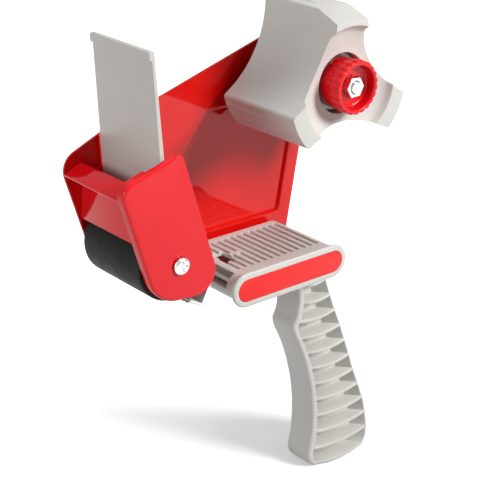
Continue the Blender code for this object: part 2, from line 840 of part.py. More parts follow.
def make_flap_spring():
    """Torsion spring on the flap's pin: one leg lies behind the flap, the other reaches the web."""
    wire = flap_spring_wire / 2
    radius = flap_pin_radius + flap_spring_play + wire
    first_y = -flap_half + running_gap + wire
    points = coil_points((pin_x, first_y, pin_z), radius, flap_spring_turns, flap_spring_pitch,
                         -math.pi / 2, 9)
    print(f"flap spring: least gap between turns {least_gap(points, wire) * 1000:.2f} mm")
    web_rear = roller_x - (web_foot_forward + ridge_forward) / 2 + sheet
    toe = (web_rear + running_gap, first_y, pin_z - radius)
    heel = points[-1]
    leg = (heel[0], heel[1], heel[2] + flap_spring_leg)
    spring = tube_along("flap_spring", [toe] + points + [leg], wire)
    finish(spring, bright_steel)


def make_blade_holder():
    """A bent steel strip below the roller; the blade is riveted under its lower flange."""
    reach = inner_half - fit_gap
    holder = bent_sheet("blade_holder", [holder_top, holder_fold, holder_toe], -reach, reach)
    upper, down = along_line(holder_top, holder_fold, 0)
    lower, _ = along_line(holder_top, holder_fold, holder_tab_width)
    far_x = roller_x + holder_far_tab_back
    far_tab = [tuple(upper), tuple(lower), (far_x, lower[1]), (far_x, upper[1])]
    near_x = roller_x + holder_near_tab_back
    near_tab = [tuple(upper), tuple(lower), (near_x, roller_z - holder_near_tab_rise - holder_tab_width),
                (near_x, roller_z - holder_near_tab_rise)]
    for side, tab, y_low in (("far", far_tab, reach - sheet), ("near", near_tab, -reach)):
        flat = flat_piece("holder_tab_" + side, [tab], y_low, y_low + sheet)
        combine(holder, flat, "UNION")
    centre, direction = along_line(holder_toe, holder_fold, blade_flange_rivet)
    normal = Vector((direction[1], -direction[0]))
    drill = tilted_rods("holder_drill", centre, normal, rivet_radius + fit_gap, sheet + cut_overrun)
    combine(holder, drill, "DIFFERENCE")
    return finish(holder, bright_steel)


def blade_rivet_ys():
    """Where the blade's rivets lie along its length."""
    return [-blade_rivet_spread, blade_rivet_spread]


def tilted_matrix(centre, normal, y):
    """A frame whose Z axis is a direction in the X-Z plane, at a place."""
    z_axis = Vector((normal[0], 0, normal[1])).normalized()
    y_axis = Vector((0, 1, 0))
    x_axis = y_axis.cross(z_axis)
    turn = Matrix((x_axis, y_axis, z_axis)).transposed().to_4x4()
    return Matrix.Translation((centre[0], y, centre[1])) @ turn


def tilted_rods(name, centre, normal, radius, half_length):
    """Rods square to the blade's flange, one at each rivet."""
    shape = bmesh.new()
    for y in blade_rivet_ys():
        bmesh.ops.create_cone(shape, cap_ends=True, segments=12, radius1=radius, radius2=radius,
                              depth=2 * half_length, matrix=tilted_matrix(centre, normal, y))
    return from_bmesh(name, shape, (0, 0, 0))


def make_blade():
    """The serrated blade under the holder's lower flange, and its rivets."""
    start, direction = along_line(holder_toe, holder_fold, 0)
    normal = Vector((-direction[1], direction[0]))
    shift = -(sheet / 2 + fit_gap + blade_thickness / 2)
    if normal[1] < 0:
        normal = -normal
    middle = start + normal * shift
    half = inner_half - blade_side_gap
    teeth = round(2 * half / blade_tooth_pitch)
    outline = [(0, -half), (0, half)]
    for tooth in range(teeth):
        y = half - 2 * half * tooth / teeth
        outline.append((blade_width - blade_tooth_depth, y))
        outline.append((blade_width, y - half / teeth))
    outline.append((blade_width - blade_tooth_depth, -half))
    rivets = [circle((blade_flange_rivet, y), rivet_radius + fit_gap, 12) for y in blade_rivet_ys()]
    blade = flat_piece("blade", [outline] + rivets, -blade_thickness / 2, blade_thickness / 2)
    x_axis = Vector((direction[0], 0, direction[1]))
    y_axis = Vector((0, 1, 0))
    z_axis = x_axis.cross(y_axis)
    turn = Matrix((x_axis, y_axis, z_axis)).transposed().to_4x4()
    blade.matrix_world = Matrix.Translation((middle[0], 0, middle[1])) @ turn
    finish(blade, bright_steel)
    centre, _ = along_line(holder_toe, holder_fold, blade_flange_rivet)
    clamp = sheet + fit_gap + blade_thickness
    profile = rivet_profile(clamp + fit_gap)
    rivet_middle = centre + normal * (sheet / 2 - clamp / 2)
    for side, y in zip(("near", "far"), blade_rivet_ys()):
        rivet = turned("blade_rivet_" + side, profile, (0, 0, 0), 12, closed=False)
        rivet.matrix_world = tilted_matrix(rivet_middle, normal, y)
        finish(rivet, bright_steel)


def lobe_slope(name, sink):
    """A block over the sloping near end of the hub's top lobe, sunk by a wall."""
    shape = bmesh.new()
    size = Matrix.Diagonal((2 * hub_radius, 2 * hub_slope_length, hub_radius, 1))
    shift = Matrix.Translation((0, -hub_slope_length, hub_radius / 2))
    bmesh.ops.create_cube(shape, size=1, matrix=shift @ size)
    block = from_bmesh(name, shape, (hub_x, hub_near + hub_slope_length, hub_z + hub_radius - sink))
    block.rotation_euler = (math.atan2(hub_slope_drop, hub_slope_length), 0, 0)
    return block


def make_hub():
    """The three-lobed tape hub: a shell with a dished end, a well for the knob and a bearing collar."""
    datum = (hub_x, hub_z)
    hub = flat_piece("hub_body", [hub_outline()], hub_near, hub_shell_far, datum)
    combine(hub, lobe_slope("hub_slope", 0), "DIFFERENCE")
    pocket = flat_piece("hub_pocket", [hub_outline(hub_wall)], hub_near + hub_cap, hub_far + cut_overrun)
    combine(pocket, lobe_slope("hub_slope_wall", hub_wall), "DIFFERENCE")
    well_outer = well_radius + well_wall
    rise = -hub_near
    keep_profile = [(0, rise), (hub_dish_radius, rise), (hub_dish_radius, rise - hub_cap),
                    (well_outer, rise - hub_dish_depth - hub_cap), (0, rise - hub_dish_depth - hub_cap)]
    keep = turned("hub_floor_keep", keep_profile, (hub_x, 0, hub_z), 48, closed=False)
    combine(pocket, keep, "DIFFERENCE")
    combine(hub, pocket, "DIFFERENCE")
    well_end = well_floor_y + well_floor
    well_start = hub_near + hub_dish_depth + hub_cap / 2
    well = rods("hub_well_wall", [datum], well_outer, well_start, well_end, 40)
    collar_radius = hub_collar_bore + hub_collar_wall
    collar = rods("hub_collar", [datum], collar_radius, well_end - well_floor / 2, hub_far, 32)
    pad = rods("hub_pad", [datum], friction_radius, hub_far - hub_wall, hub_far, 32)
    for added in (well, collar, pad):
        combine(hub, added, "UNION")
    past = cut_overrun * (hub_dish_radius - well_outer) / hub_dish_depth
    dish_profile = [(0, rise + cut_overrun), (hub_dish_radius + past, rise + cut_overrun),
                    (well_outer, rise - hub_dish_depth), (0, rise - hub_dish_depth)]
    dish = turned("hub_dish", dish_profile, (hub_x, 0, hub_z), 48, closed=False)
    well_bore = rods("hub_well", [datum], well_radius, hub_near, well_floor_y, 40)
    bore = rods("hub_bore", [datum], hub_collar_bore, hub_near, hub_far + cut_overrun, 24)
    for cut in (dish, well_bore, bore):
        combine(hub, cut, "DIFFERENCE")
    return finish(hub, grey_plastic)


def make_hub_hardware():
    """Stud, bearing bush, friction washer, thrust washer and tension spring."""
    axis = (hub_x, hub_z)
    bore = stud_radius + fit_gap
    seat = inner_half - fit_gap
    bush = ring("hub_bush", bore, hub_bush_radius, well_floor_y, seat, axis, 24)
    finish(bush, bright_steel)
    brake = ring("friction_washer", hub_bush_radius + fit_gap, friction_radius, hub_far + fit_gap, seat, axis)
    finish(brake, dark_fibre)
    head_y = plate_outer + 2 * fit_gap + sheet
    washer = ring("stud_washer", bore, stud_washer_radius, plate_outer + fit_gap, head_y - fit_gap, axis)
    finish(washer, bright_steel)
    stud = rods("hub_stud", [axis], stud_radius, stud_near, head_y + stud_head_height / 2, 24, axis)
    hexagon = flat_piece("stud_head", [circle(axis, stud_head_radius, 6)], head_y, head_y + stud_head_height)
    combine(stud, hexagon, "UNION")
    finish(stud, bright_steel)
    washer_near = knob_far + fit_gap
    washer_far = washer_near + washer_thickness
    thrust = ring("thrust_washer", bore, washer_radius, washer_near, washer_far, axis, 40)
    finish(thrust, bright_steel)
    wire = tension_wire / 2
    start_y = washer_far + fit_gap + wire
    end_y = well_floor_y - fit_gap - wire
    pitch = (end_y - start_y) / tension_turns
    points = coil_points((hub_x, start_y, hub_z), tension_radius, tension_turns, pitch, 0)
    print(f"tension spring: least gap between turns {least_gap(points, wire) * 1000:.2f} mm")
    spring = tube_along("tension_spring", points, wire)
    finish(spring, bright_steel)


def fluted_outline():
    """The knob's rim, with shallow flutes."""
    points = []
    count = knob_flutes * 6
    for step in range(count):
        angle = 2 * math.pi * step / count
        wave = (1 - math.cos(knob_flutes * angle)) / 2
        radius = knob_radius - knob_flute_depth * wave
        points.append((hub_x + radius * math.cos(angle), hub_z + radius * math.sin(angle)))
    return points


def make_knob():
    """The tension knob, a fluted cup with a nut seated in its floor."""
    axis = (hub_x, hub_z)
    knob = flat_piece("tension_knob", [fluted_outline()], knob_near, knob_near + knob_flute_length, axis)
    skirt = rods("knob_skirt", [axis], knob_skirt_radius, knob_near + knob_flute_length / 2, knob_far, 48)
    combine(knob, skirt, "UNION")
    cup = rods("knob_cup", [axis], knob_radius - knob_flute_depth - knob_cup_wall, knob_near - cut_overrun,
               knob_floor_y, 40)
    seat = flat_piece("knob_seat", [circle(axis, stud_head_radius + fit_gap, 6)], knob_near,
                      knob_floor_y + knob_nut_seat + fit_gap)
    bore = rods("knob_bore", [axis], stud_radius + fit_gap, knob_near, knob_far + cut_overrun, 24)
    for cut in (cup, seat, bore):
        combine(knob, cut, "DIFFERENCE")
    finish(knob, red_plastic)
    nut = flat_piece("knob_nut", [circle(axis, stud_head_radius, 6), circle(axis, stud_radius + fit_gap, 24)],
                     nut_near, nut_near + knob_nut_height, axis)
    finish(nut, bright_steel)


def grip_edge_x(shares, z):
    """Where an edge of the grip lies at a height, between its points."""
    drop = (body_bottom - z) / body_bottom
    for (x_low, z_low), (x_high, z_high) in zip(shares, shares[1:]):
        if z_low <= drop <= z_high:
            share = x_low + (x_high - x_low) * (drop - z_low) / (z_high - z_low)
            break
    else:
        share = shares[0][0] if drop < 0 else shares[-1][0]
    return roller_x + grip_front_back + share * grip_profile_depth


def grip_section(z):
    """The grip's level section at a height: a flat front, bulging sides and a rounded rear."""
    front = grip_edge_x(grip_front_shares, z)
    rear = grip_edge_x(grip_rear_shares, z)
    half = grip_width / 2
    broad = front + grip_front_wall * 3 / 4
    front_half = half * grip_bulge_shares[0][1]
    rear_half = half * grip_bulge_shares[-1][1]
    side = [(front, front_half - grip_front_wall / 2),
            (front + grip_front_wall / 4, front_half - grip_front_wall / 8)]
    for along, wide in grip_bulge_shares[:-1]:
        side.append((broad + (rear - grip_rear_corner / 2 - broad) * along, half * wide))
    side += [(rear - grip_rear_corner / 4, rear_half - grip_rear_corner / 4),
             (rear, rear_half - grip_rear_corner)]
    return side + [(x, -y) for x, y in reversed(side)]


def make_grip_loft():
    """The grip's outer form, lofted through its level sections from the foot to inside the platform."""
    heights = {body_bottom * (1 - drop) for _, drop in grip_front_shares + grip_rear_shares}
    heights.add(body_bottom + platform_wall / 2)
    shape = bmesh.new()
    rings = []
    for height in sorted(heights):
        rings.append([shape.verts.new((x, y, height)) for x, y in grip_section(height)])
    for low, high in zip(rings, rings[1:]):
        for index in range(len(low)):
            after = (index + 1) % len(low)
            shape.faces.new((low[index], low[after], high[after], high[index]))
    shape.faces.new(rings[0])
    shape.faces.new(list(reversed(rings[-1])))
    bmesh.ops.recalc_face_normals(shape, faces=shape.faces)
    return from_bmesh("grip_handle", shape, (0, 0, 0))


def grip_pocket(low, high, rear_wall):
    """One pocket between two level ribs, inside the front and rear walls."""
    steps = 3
    front = []
    rear = []
    for step in range(steps + 1):
        z = low + (high - low) * step / steps
        front.append((grip_edge_x(grip_front_shares, z) + grip_front_wall, z))
        rear.append((grip_edge_x(grip_rear_shares, z) - rear_wall, z))
    return front[::-1] + rear


def make_grip():
    """Platform and pistol grip as one moulding, with the grip open at both sides between its ribs."""
    rim_end = platform_near + platform_rim_length
    rim_line = stadium(platform_x, platform_x + platform_length, platform_bottom, platform_top)
    rim = flat_piece("grip_body", [rim_line], platform_near, rim_end)
    body = flat_piece("platform_body", [stadium(body_front, body_rear, body_bottom, body_top)],
                      rim_end - platform_rim_length / 2, platform_far)
    combine(rim, body, "UNION")
    wall = platform_wall
    hollow = flat_piece("platform_hollow",
                        [stadium(body_front + wall, body_rear - wall, body_bottom + wall, body_top - wall)],
                        platform_near + platform_near_wall, platform_far + cut_overrun)
    combine(rim, hollow, "DIFFERENCE")
    handle = make_grip_loft()
    pockets = pocket_cutters()
    combine(handle, pockets, "DIFFERENCE")
    combine(rim, handle, "UNION")
    bosses = rods("platform_bosses", grip_screw_places(), boss_radius, platform_near + platform_near_wall / 2,
                  boss_far, 20)
    combine(rim, bosses, "UNION")
    depth = plate_outer - grip_screw_length
    pilots = rods("platform_pilots", grip_screw_places(), grip_screw_radius + fit_gap, depth - fit_gap,
                  boss_far + cut_overrun, 16)
    combine(rim, pilots, "DIFFERENCE")
    combine(rim, groove_cutters(), "DIFFERENCE")
    combine(rim, slot_cutters(), "DIFFERENCE")
    seat = flat_piece("strip_seat", [strip_outline(0)], platform_near - cut_overrun,
                      platform_near + strip_thickness + fit_gap)
    combine(rim, seat, "DIFFERENCE")
    return finish(rim, grey_plastic)


def pocket_cutters():
    """All pockets of the grip, on both sides of its middle web; their rear walls lean outward."""
    top = body_bottom - grip_top_land
    bottom = grip_foot_wall
    pitch = (top - bottom + grip_rib) / (grip_rib_count + 1)
    inner = grip_web / 2
    outer = grip_width / 2 + cut_overrun
    rear_half = grip_width / 2 * grip_bulge_shares[-1][1]
    lean = (grip_rear_wall - grip_rear_rim) / (rear_half - inner)
    outer_wall = grip_rear_wall - lean * (outer - inner)
    shape = bmesh.new()
    for index in range(grip_rib_count + 1):
        low = bottom + index * pitch
        high = low + pitch - grip_rib
        for side in (1, -1):
            rings = []
            for y, wall in ((inner, grip_rear_wall), (outer, outer_wall)):
                rings.append([shape.verts.new((x, side * y, z)) for x, z in grip_pocket(low, high, wall)])
            for place in range(len(rings[0])):
                after = (place + 1) % len(rings[0])
                shape.faces.new((rings[0][place], rings[0][after], rings[1][after], rings[1][place]))
            shape.faces.new(rings[0])
            shape.faces.new(list(reversed(rings[1])))
    bmesh.ops.recalc_face_normals(shape, faces=shape.faces)
    return from_bmesh("grip_pockets", shape, (0, 0, 0))


def groove_cutters():
    """The lateral grooves on the platform; the front ones are broken by a small land."""
    far = inner_half - groove_margin_far
    near = platform_near + groove_margin_near
    land = (far + near) / 2
    spans = []
    for index in range(groove_count):
        x = roller_x + groove_first_back + index * groove_pitch
        low_z, high_z = body_top - groove_depth, body_top + cut_overrun
        stretches = [(near, far)]
        if index < groove_land_count:
            stretches = [(near, land - groove_width / 2), (land + groove_width / 2, far)]
        for start, end in stretches:
            spans.append(((x - groove_width / 2, start, low_z), (x + groove_width / 2, end, high_z)))
    return boxes("platform_grooves", spans)


def slot_cutters():
    """The notch in the platform's top and the two slots round its nose, through to the hollow."""
    notch_x = roller_x + notch_back
    notch_far = inner_half - notch_to_far_edge
    low = (notch_x - notch_width / 2, notch_far - notch_length, body_top - platform_wall - cut_overrun)
    high = (notch_x + notch_width / 2, notch_far, body_top + cut_overrun)
    cutter = boxes("platform_notch", [(low, high)])
    radius = (body_top - body_bottom) / 2
    centre = (body_front + radius, platform_mid)
    near = platform_near + nose_slot_margin
    far = inner_half - nose_slot_margin
    for index, angle in enumerate(nose_slot_angles):
        reach = radius - platform_wall / 2
        shape = bmesh.new()
        size = (platform_wall + cut_overrun, far - near, nose_slot_width)
        bmesh.ops.create_cube(shape, size=1, matrix=Matrix.Diagonal((*size, 1)))
        x = centre[0] + reach * math.cos(angle)
        z = centre[1] + reach * math.sin(angle)
        slot = from_bmesh(f"nose_slot_{index + 1}", shape, (x, (near + far) / 2, z))
        slot.rotation_euler = (0, -angle, 0)
        combine(cutter, slot, "UNION")
    return cutter


def strip_outline(gap):
    """The inlaid strip's outline, inside the platform's end rim."""
    rim = strip_rim + gap
    rear = platform_x + platform_length - rim
    return stadium(platform_x + rim, rear, platform_bottom + rim, platform_top - rim)


def make_strip():
    """The red strip inlaid in the platform's near end."""
    strip = flat_piece("grip_strip", [strip_outline(fit_gap)], platform_near, platform_near + strip_thickness)
    return finish(strip, red_plastic)


clear_scene()
part = new_collection("packing_tape_dispenser")
cutters = new_collection("cutters")
make_side_plate()
make_near_cheek()
make_crossbar()
make_roller()
make_roller_axle()
make_screws()
make_flap()
make_flap_spring()
make_blade_holder()
make_blade()
make_hub()
make_hub_hardware()
make_knob()
make_grip()
make_strip()
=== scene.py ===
"""Looks of the pistol-grip packing tape dispenser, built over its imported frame.

Places and sizes below are millimetres in the frame's own axes; each mesh is scaled to metres when it is made.
"""

import math

import bmesh
import bpy
from mathutils import Matrix, Vector


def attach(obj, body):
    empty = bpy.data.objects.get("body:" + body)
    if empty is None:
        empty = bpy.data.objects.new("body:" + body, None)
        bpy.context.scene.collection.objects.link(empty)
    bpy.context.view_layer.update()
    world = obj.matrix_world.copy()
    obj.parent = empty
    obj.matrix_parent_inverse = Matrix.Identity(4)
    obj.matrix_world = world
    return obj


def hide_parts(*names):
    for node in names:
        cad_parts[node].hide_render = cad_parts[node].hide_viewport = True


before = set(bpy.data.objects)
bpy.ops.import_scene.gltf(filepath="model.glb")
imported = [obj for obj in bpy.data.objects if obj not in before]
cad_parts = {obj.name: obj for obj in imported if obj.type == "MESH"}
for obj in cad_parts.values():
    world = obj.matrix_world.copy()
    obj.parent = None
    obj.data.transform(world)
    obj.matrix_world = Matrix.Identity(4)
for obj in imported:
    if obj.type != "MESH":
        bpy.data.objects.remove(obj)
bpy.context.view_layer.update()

# Places and sizes shared by several pieces
MM = 0.001
ROLLER = (-124.0, 158.0)
HUB = (-23.0, 226.5)
INNER = 26.5
SHEET = 1.2
GAP = 0.3
TILT = math.radians(17)
HEAD_HALF = 17.9
HEAD_TOP = 51.5
PLATE_HALF = 15.6
FLAP_PIN = (-128.9, 184.5)
FLAP_LEAN = math.radians(3.5)
HUB_FAR = 24.7
HUB_SHELL_FAR = 20.9
HUB_NEAR = -32.2
HUB_R = 38.0
HUB_WAIST = 19.5
LOBES = [math.radians(a) for a in (90, -30, 210)]
LOBE_HALF = math.radians(15)
KNOB_NEAR = -37.3
KNOB_FAR = -21.5
PLATFORM = (-93.0, -18.8, 124.8, 142.8)
PLATFORM_NEAR = -28.3
PLATFORM_FAR = 22.0
BOSS_FAR = 26.2
SCREW_INSET = 14.5
PLATE_LEAN = math.tan(math.radians(10.8))
PLATE_FOOT_X = -13.7
FLAP_HEIGHT = 75.5
FLAP_BORE = 1.8
BARREL_NEAR = -14.0
HUB_FLOOR = HUB_NEAR + 25.6
HUB_WALL = 2.4
WASHER = 1.2
GRIP_TOP = 126.8
GRIP_FRONT_X = -40.0
GRIP_DEPTH = 61.0

# Edges of the grip below the platform: share of its depth, share of its drop
GRIP_FRONT = [
    (0.00, 0.00), (0.074, 0.086), (0.108, 0.152), (0.095, 0.21), (0.080, 0.244), (0.046, 0.278),
    (0.064, 0.318), (0.107, 0.362), (0.148, 0.407), (0.182, 0.450), (0.211, 0.494), (0.234, 0.537),
    (0.256, 0.58), (0.272, 0.621), (0.282, 0.663), (0.291, 0.705), (0.293, 0.786), (0.282, 0.865),
    (0.264, 0.903), (0.2525, 0.941), (0.266, 0.968), (0.303, 0.988), (0.369, 1.0),
]
GRIP_REAR = [
    (0.354, 0.0), (0.42, 0.097), (0.475, 0.175), (0.538, 0.256), (0.605, 0.333), (0.664, 0.413),
    (0.724, 0.491), (0.783, 0.574), (0.877, 0.69), (0.936, 0.77), (0.972, 0.852), (0.984, 0.903),
    (0.976, 0.955), (0.93, 0.988), (0.86, 1.0),
]

# Half of the grip's section behind its front wall: share of the way back, millimetres
GRIP_BULGE = [(0.0, 9.25), (0.15, 11.2), (0.4, 12.3), (0.7, 11.6), (0.93, 10.2), (1.0, 9.6)]


# Outlines

def arc(centre, radius, start, end, steps):
    """Points of an arc in a plane, its first and last included."""
    return [(centre[0] + radius * math.cos(start + (end - start) * k / steps),
             centre[1] + radius * math.sin(start + (end - start) * k / steps)) for k in range(steps + 1)]


def circle(centre, radius, steps=48):
    """Points of a circle."""
    return arc(centre, radius, 0, 2 * math.pi, steps)[:-1]


def rounded(corners, radii, steps=8):
    """An outline with each corner replaced by an arc of its own radius."""
    points = []
    for k, corner in enumerate(corners):
        here = Vector(corner)
        before = (Vector(corners[k - 1]) - here).normalized()
        after = (Vector(corners[(k + 1) % len(corners)]) - here).normalized()
        radius = radii[k]
        if radius <= 0:
            points.append(tuple(here))
            continue
        half = before.angle(after) / 2
        centre = here + (before + after).normalized() * radius / math.sin(half)
        first = here + before * radius / math.tan(half) - centre
        last = here + after * radius / math.tan(half) - centre
        turn = first.angle_signed(last)
        for step in range(steps + 1):
            points.append(tuple(centre + Matrix.Rotation(-turn * step / steps, 2) @ first))
    return points


def stadium(x0, x1, z0, z1, inset=0.0, steps=20):
    """An outline with two half-round ends."""
    middle = (z0 + z1) / 2
    radius = (z1 - z0) / 2
    rear = arc((x1 - radius, middle), radius - inset, -math.pi / 2, math.pi / 2, steps)
    front = arc((x0 + radius, middle), radius - inset, math.pi / 2, 3 * math.pi / 2, steps)
    return rear + front


def head_point(forward, up):
    """A place in the head's leaning frame about the roller's axis, as X and Z."""
    return (ROLLER[0] - forward * math.cos(TILT) - up * math.sin(TILT),
            ROLLER[1] - forward * math.sin(TILT) + up * math.cos(TILT))


def head_arc(radius, start, end, steps):
    """An arc about the roller's axis, its angles measured from the head's forward direction."""
    angles = [start + (end - start) * k / steps for k in range(steps + 1)]
    return [head_point(radius * math.cos(a), radius * math.sin(a)) for a in angles]


def inset_line(points, distance):
    """A closed outline moved inwards by a distance."""
    area = sum(a[0] * b[1] - b[0] * a[1] for a, b in zip(points, points[1:] + points[:1]))
    side = 1 if area > 0 else -1
    moved = []
    for k, here in enumerate(points):
        before = (Vector(here) - Vector(points[k - 1])).normalized()
        after = (Vector(points[(k + 1) % len(points)]) - Vector(here)).normalized()
        first = Vector((-before.y, before.x)) * side
        second = Vector((-after.y, after.x)) * side
        normal = (first + second).normalized()
        moved.append(tuple(Vector(here) + normal * distance / max(normal.dot(first), 0.4)))
    return moved


# Meshes

def scaled_mesh(name, shape):
    """A mesh in metres from a bmesh in millimetres."""
    bmesh.ops.scale(shape, vec=(MM, MM, MM), verts=shape.verts)
    mesh = bpy.data.meshes.new(name)
    shape.to_mesh(mesh)
    shape.free()
    return mesh


def new_object(name, mesh):
    """An object of a mesh, in the scene."""
    thing = bpy.data.objects.new(name, mesh)
    bpy.context.scene.collection.objects.link(thing)
    return thing


def evaluated_mesh(thing):
    """The object's mesh with its modifiers applied."""
    bpy.context.view_layer.update()
    graph = bpy.context.evaluated_depsgraph_get()
    return bpy.data.meshes.new_from_object(thing.evaluated_get(graph))


def settle(thing):
    """Apply all modifiers of an object, and weld its points."""
    mesh = evaluated_mesh(thing)
    thing.modifiers.clear()
    thing.data = mesh
    shape = bmesh.new()
    shape.from_mesh(mesh)
    bmesh.ops.remove_doubles(shape, verts=shape.verts, dist=0.004 * MM)
    bmesh.ops.dissolve_degenerate(shape, dist=0.004 * MM, edges=shape.edges)
    shape.to_mesh(mesh)
    shape.free()
    return thing


def stack(name, rings):
    """An object that joins rings of the same number of 3-D points, with its ends closed."""
    shape = bmesh.new()
    rows = [[shape.verts.new(p) for p in ring] for ring in rings]
    count = len(rings[0])
    for low, high in zip(rows, rows[1:]):
        for k in range(count):
            j = (k + 1) % count
            shape.faces.new((low[k], low[j], high[j], high[k]))
    shape.faces.new(rows[0][::-1])
    shape.faces.new(rows[-1])
    bmesh.ops.recalc_face_normals(shape, faces=shape.faces)
    return new_object(name, scaled_mesh(name, shape))


def at_y(outline, y):
    """An X-Z outline as 3-D points at one Y."""
    return [(x, y, z) for x, z in outline]


def plate(name, outlines, y0, y1, edge=0.25, resolution=2):
    """A flat piece between two Y values with rounded edges; inner outlines are holes."""
    curve = bpy.data.curves.new(name, "CURVE")
    curve.dimensions = "2D"
    curve.fill_mode = "BOTH"
    curve.extrude = ((y1 - y0) / 2 - edge) * MM
    curve.bevel_depth = edge * MM
    curve.bevel_resolution = resolution
    curve.offset = -edge * MM
    for outline in outlines:
        spline = curve.splines.new("POLY")
        spline.points.add(len(outline) - 1)
        spline.use_cyclic_u = True
        for point, (x, z) in zip(spline.points, outline):
            point.co = (x * MM, z * MM, 0, 1)
    guide = new_object(name + "_guide", curve)
    mesh = evaluated_mesh(guide)
    bpy.data.objects.remove(guide, do_unlink=True)
    place = Matrix.Translation((0, (y0 + y1) / 2 * MM, 0)) @ Matrix.Rotation(math.pi / 2, 4, "X")
    mesh.transform(place)
    return settle(new_object(name, mesh))


def lathe(name, profile, centre, steps=64, closed=True):
    """A turned piece about an axis along Y, from (radius, y) points."""
    shape = bmesh.new()
    rows = []
    for radius, y in profile:
        if radius <= 1e-6:
            rows.append([shape.verts.new((centre[0], y, centre[1]))])
        else:
            rows.append([shape.verts.new((x, y, z)) for x, z in circle(centre, radius, steps)])
    pairs = list(zip(rows, rows[1:])) + ([(rows[-1], rows[0])] if closed else [])
    for low, high in pairs:
        for k in range(steps):
            j = (k + 1) % steps
            if len(low) > 1 and len(high) > 1:
                shape.faces.new((low[k], low[j], high[j], high[k]))
            elif len(high) > 1:
                shape.faces.new((low[0], high[j], high[k]))
            elif len(low) > 1:
                shape.faces.new((low[k], low[j], high[0]))
    bmesh.ops.recalc_face_normals(shape, faces=shape.faces)
    return new_object(name, scaled_mesh(name, shape))


def box(name, low, high):
    """A plain box, used as a cutter."""
    shape = bmesh.new()
    size = Vector(high) - Vector(low)
    middle = (Vector(low) + Vector(high)) / 2
    bmesh.ops.create_cube(shape, size=1, matrix=Matrix.Translation(middle) @ Matrix.Diagonal((*size, 1)))
    return new_object(name, scaled_mesh(name, shape))


def combine(thing, other, operation="DIFFERENCE"):
    """Cut or join with another object, which is used up."""
    boolean = thing.modifiers.new("combine", "BOOLEAN")
    boolean.operation = operation
    boolean.solver = "EXACT"
    boolean.object = other
    settle(thing)
    bpy.data.objects.remove(other, do_unlink=True)
    return thing


def join(name, things):
    """Several objects as one."""
    shape = bmesh.new()
    for thing in things:
        mesh = evaluated_mesh(thing)
        mesh.transform(thing.matrix_world)
        shape.from_mesh(mesh)
        bpy.data.objects.remove(thing, do_unlink=True)
    mesh = bpy.data.meshes.new(name)
    shape.to_mesh(mesh)
    shape.free()
    return new_object(name, mesh)


def bevel(thing, width, segments=3, angle=40):
    """Round the sharp edges."""
    rounding = thing.modifiers.new("edges", "BEVEL")
    rounding.width = width * MM
    rounding.segments = segments
    rounding.limit_method = "ANGLE"
    rounding.angle_limit = math.radians(angle)
    rounding.use_clamp_overlap = True
    rounding.miter_outer = "MITER_ARC"
    return thing


def sweep_sheet(name, line, y0, y1, bend):
    """A bent sheet about a line in the X-Z plane, with rounded bends."""
    points = rounded(line, [0] + [bend] * (len(line) - 2) + [0], 10)
    shape = bmesh.new()
    rows = [[shape.verts.new((x, y, z)) for y in (y0, y1)] for x, z in points]
    for first, second in zip(rows, rows[1:]):
        shape.faces.new((first[0], first[1], second[1], second[0]))
    thing = new_object(name, scaled_mesh(name, shape))
    solid = thing.modifiers.new("thickness", "SOLIDIFY")
    solid.thickness = SHEET * MM
    solid.offset = 0
    solid.use_even_offset = True
    settle(thing)
    return thing


def pressed_sheet(name, shape, edge):
    """A sheet that takes its thickness behind the faces of a bmesh, away from -Y, with rounded edges."""
    bmesh.ops.recalc_face_normals(shape, faces=shape.faces)
    if sum(f.normal.y * f.calc_area() for f in shape.faces) > 0:
        bmesh.ops.reverse_faces(shape, faces=shape.faces)
    thing = new_object(name, scaled_mesh(name, shape))
    solid = thing.modifiers.new("thickness", "SOLIDIFY")
    solid.thickness = SHEET * MM
    solid.offset = -1
    settle(thing)
    return bevel(thing, edge, 3, 60)


def tube(name, points, radius):
    """A round wire along points."""
    curve = bpy.data.curves.new(name, "CURVE")
    curve.dimensions = "3D"
    curve.bevel_depth = radius * MM
    curve.bevel_resolution = 4
    curve.use_fill_caps = True
    spline = curve.splines.new("POLY")
    spline.points.add(len(points) - 1)
    for point, place in zip(spline.points, points):
        point.co = (place[0] * MM, place[1] * MM, place[2] * MM, 1)
    guide = new_object(name + "_guide", curve)
    mesh = evaluated_mesh(guide)
    bpy.data.objects.remove(guide, do_unlink=True)
    return new_object(name, mesh)


def softened(node, width):
    """A copy of a CAD node with its flat faces whole again and its edges rounded."""
    shape = bmesh.new()
    shape.from_mesh(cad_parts[node].data)
    bmesh.ops.remove_doubles(shape, verts=shape.verts, dist=0.002 * MM)
    bmesh.ops.dissolve_limit(shape, angle_limit=math.radians(0.5), verts=shape.verts, edges=shape.edges)
    mesh = bpy.data.meshes.new(node + "_finished")
    shape.to_mesh(mesh)
    shape.free()
    return bevel(new_object(node + "_finished", mesh), width, 2, 32)


# Materials

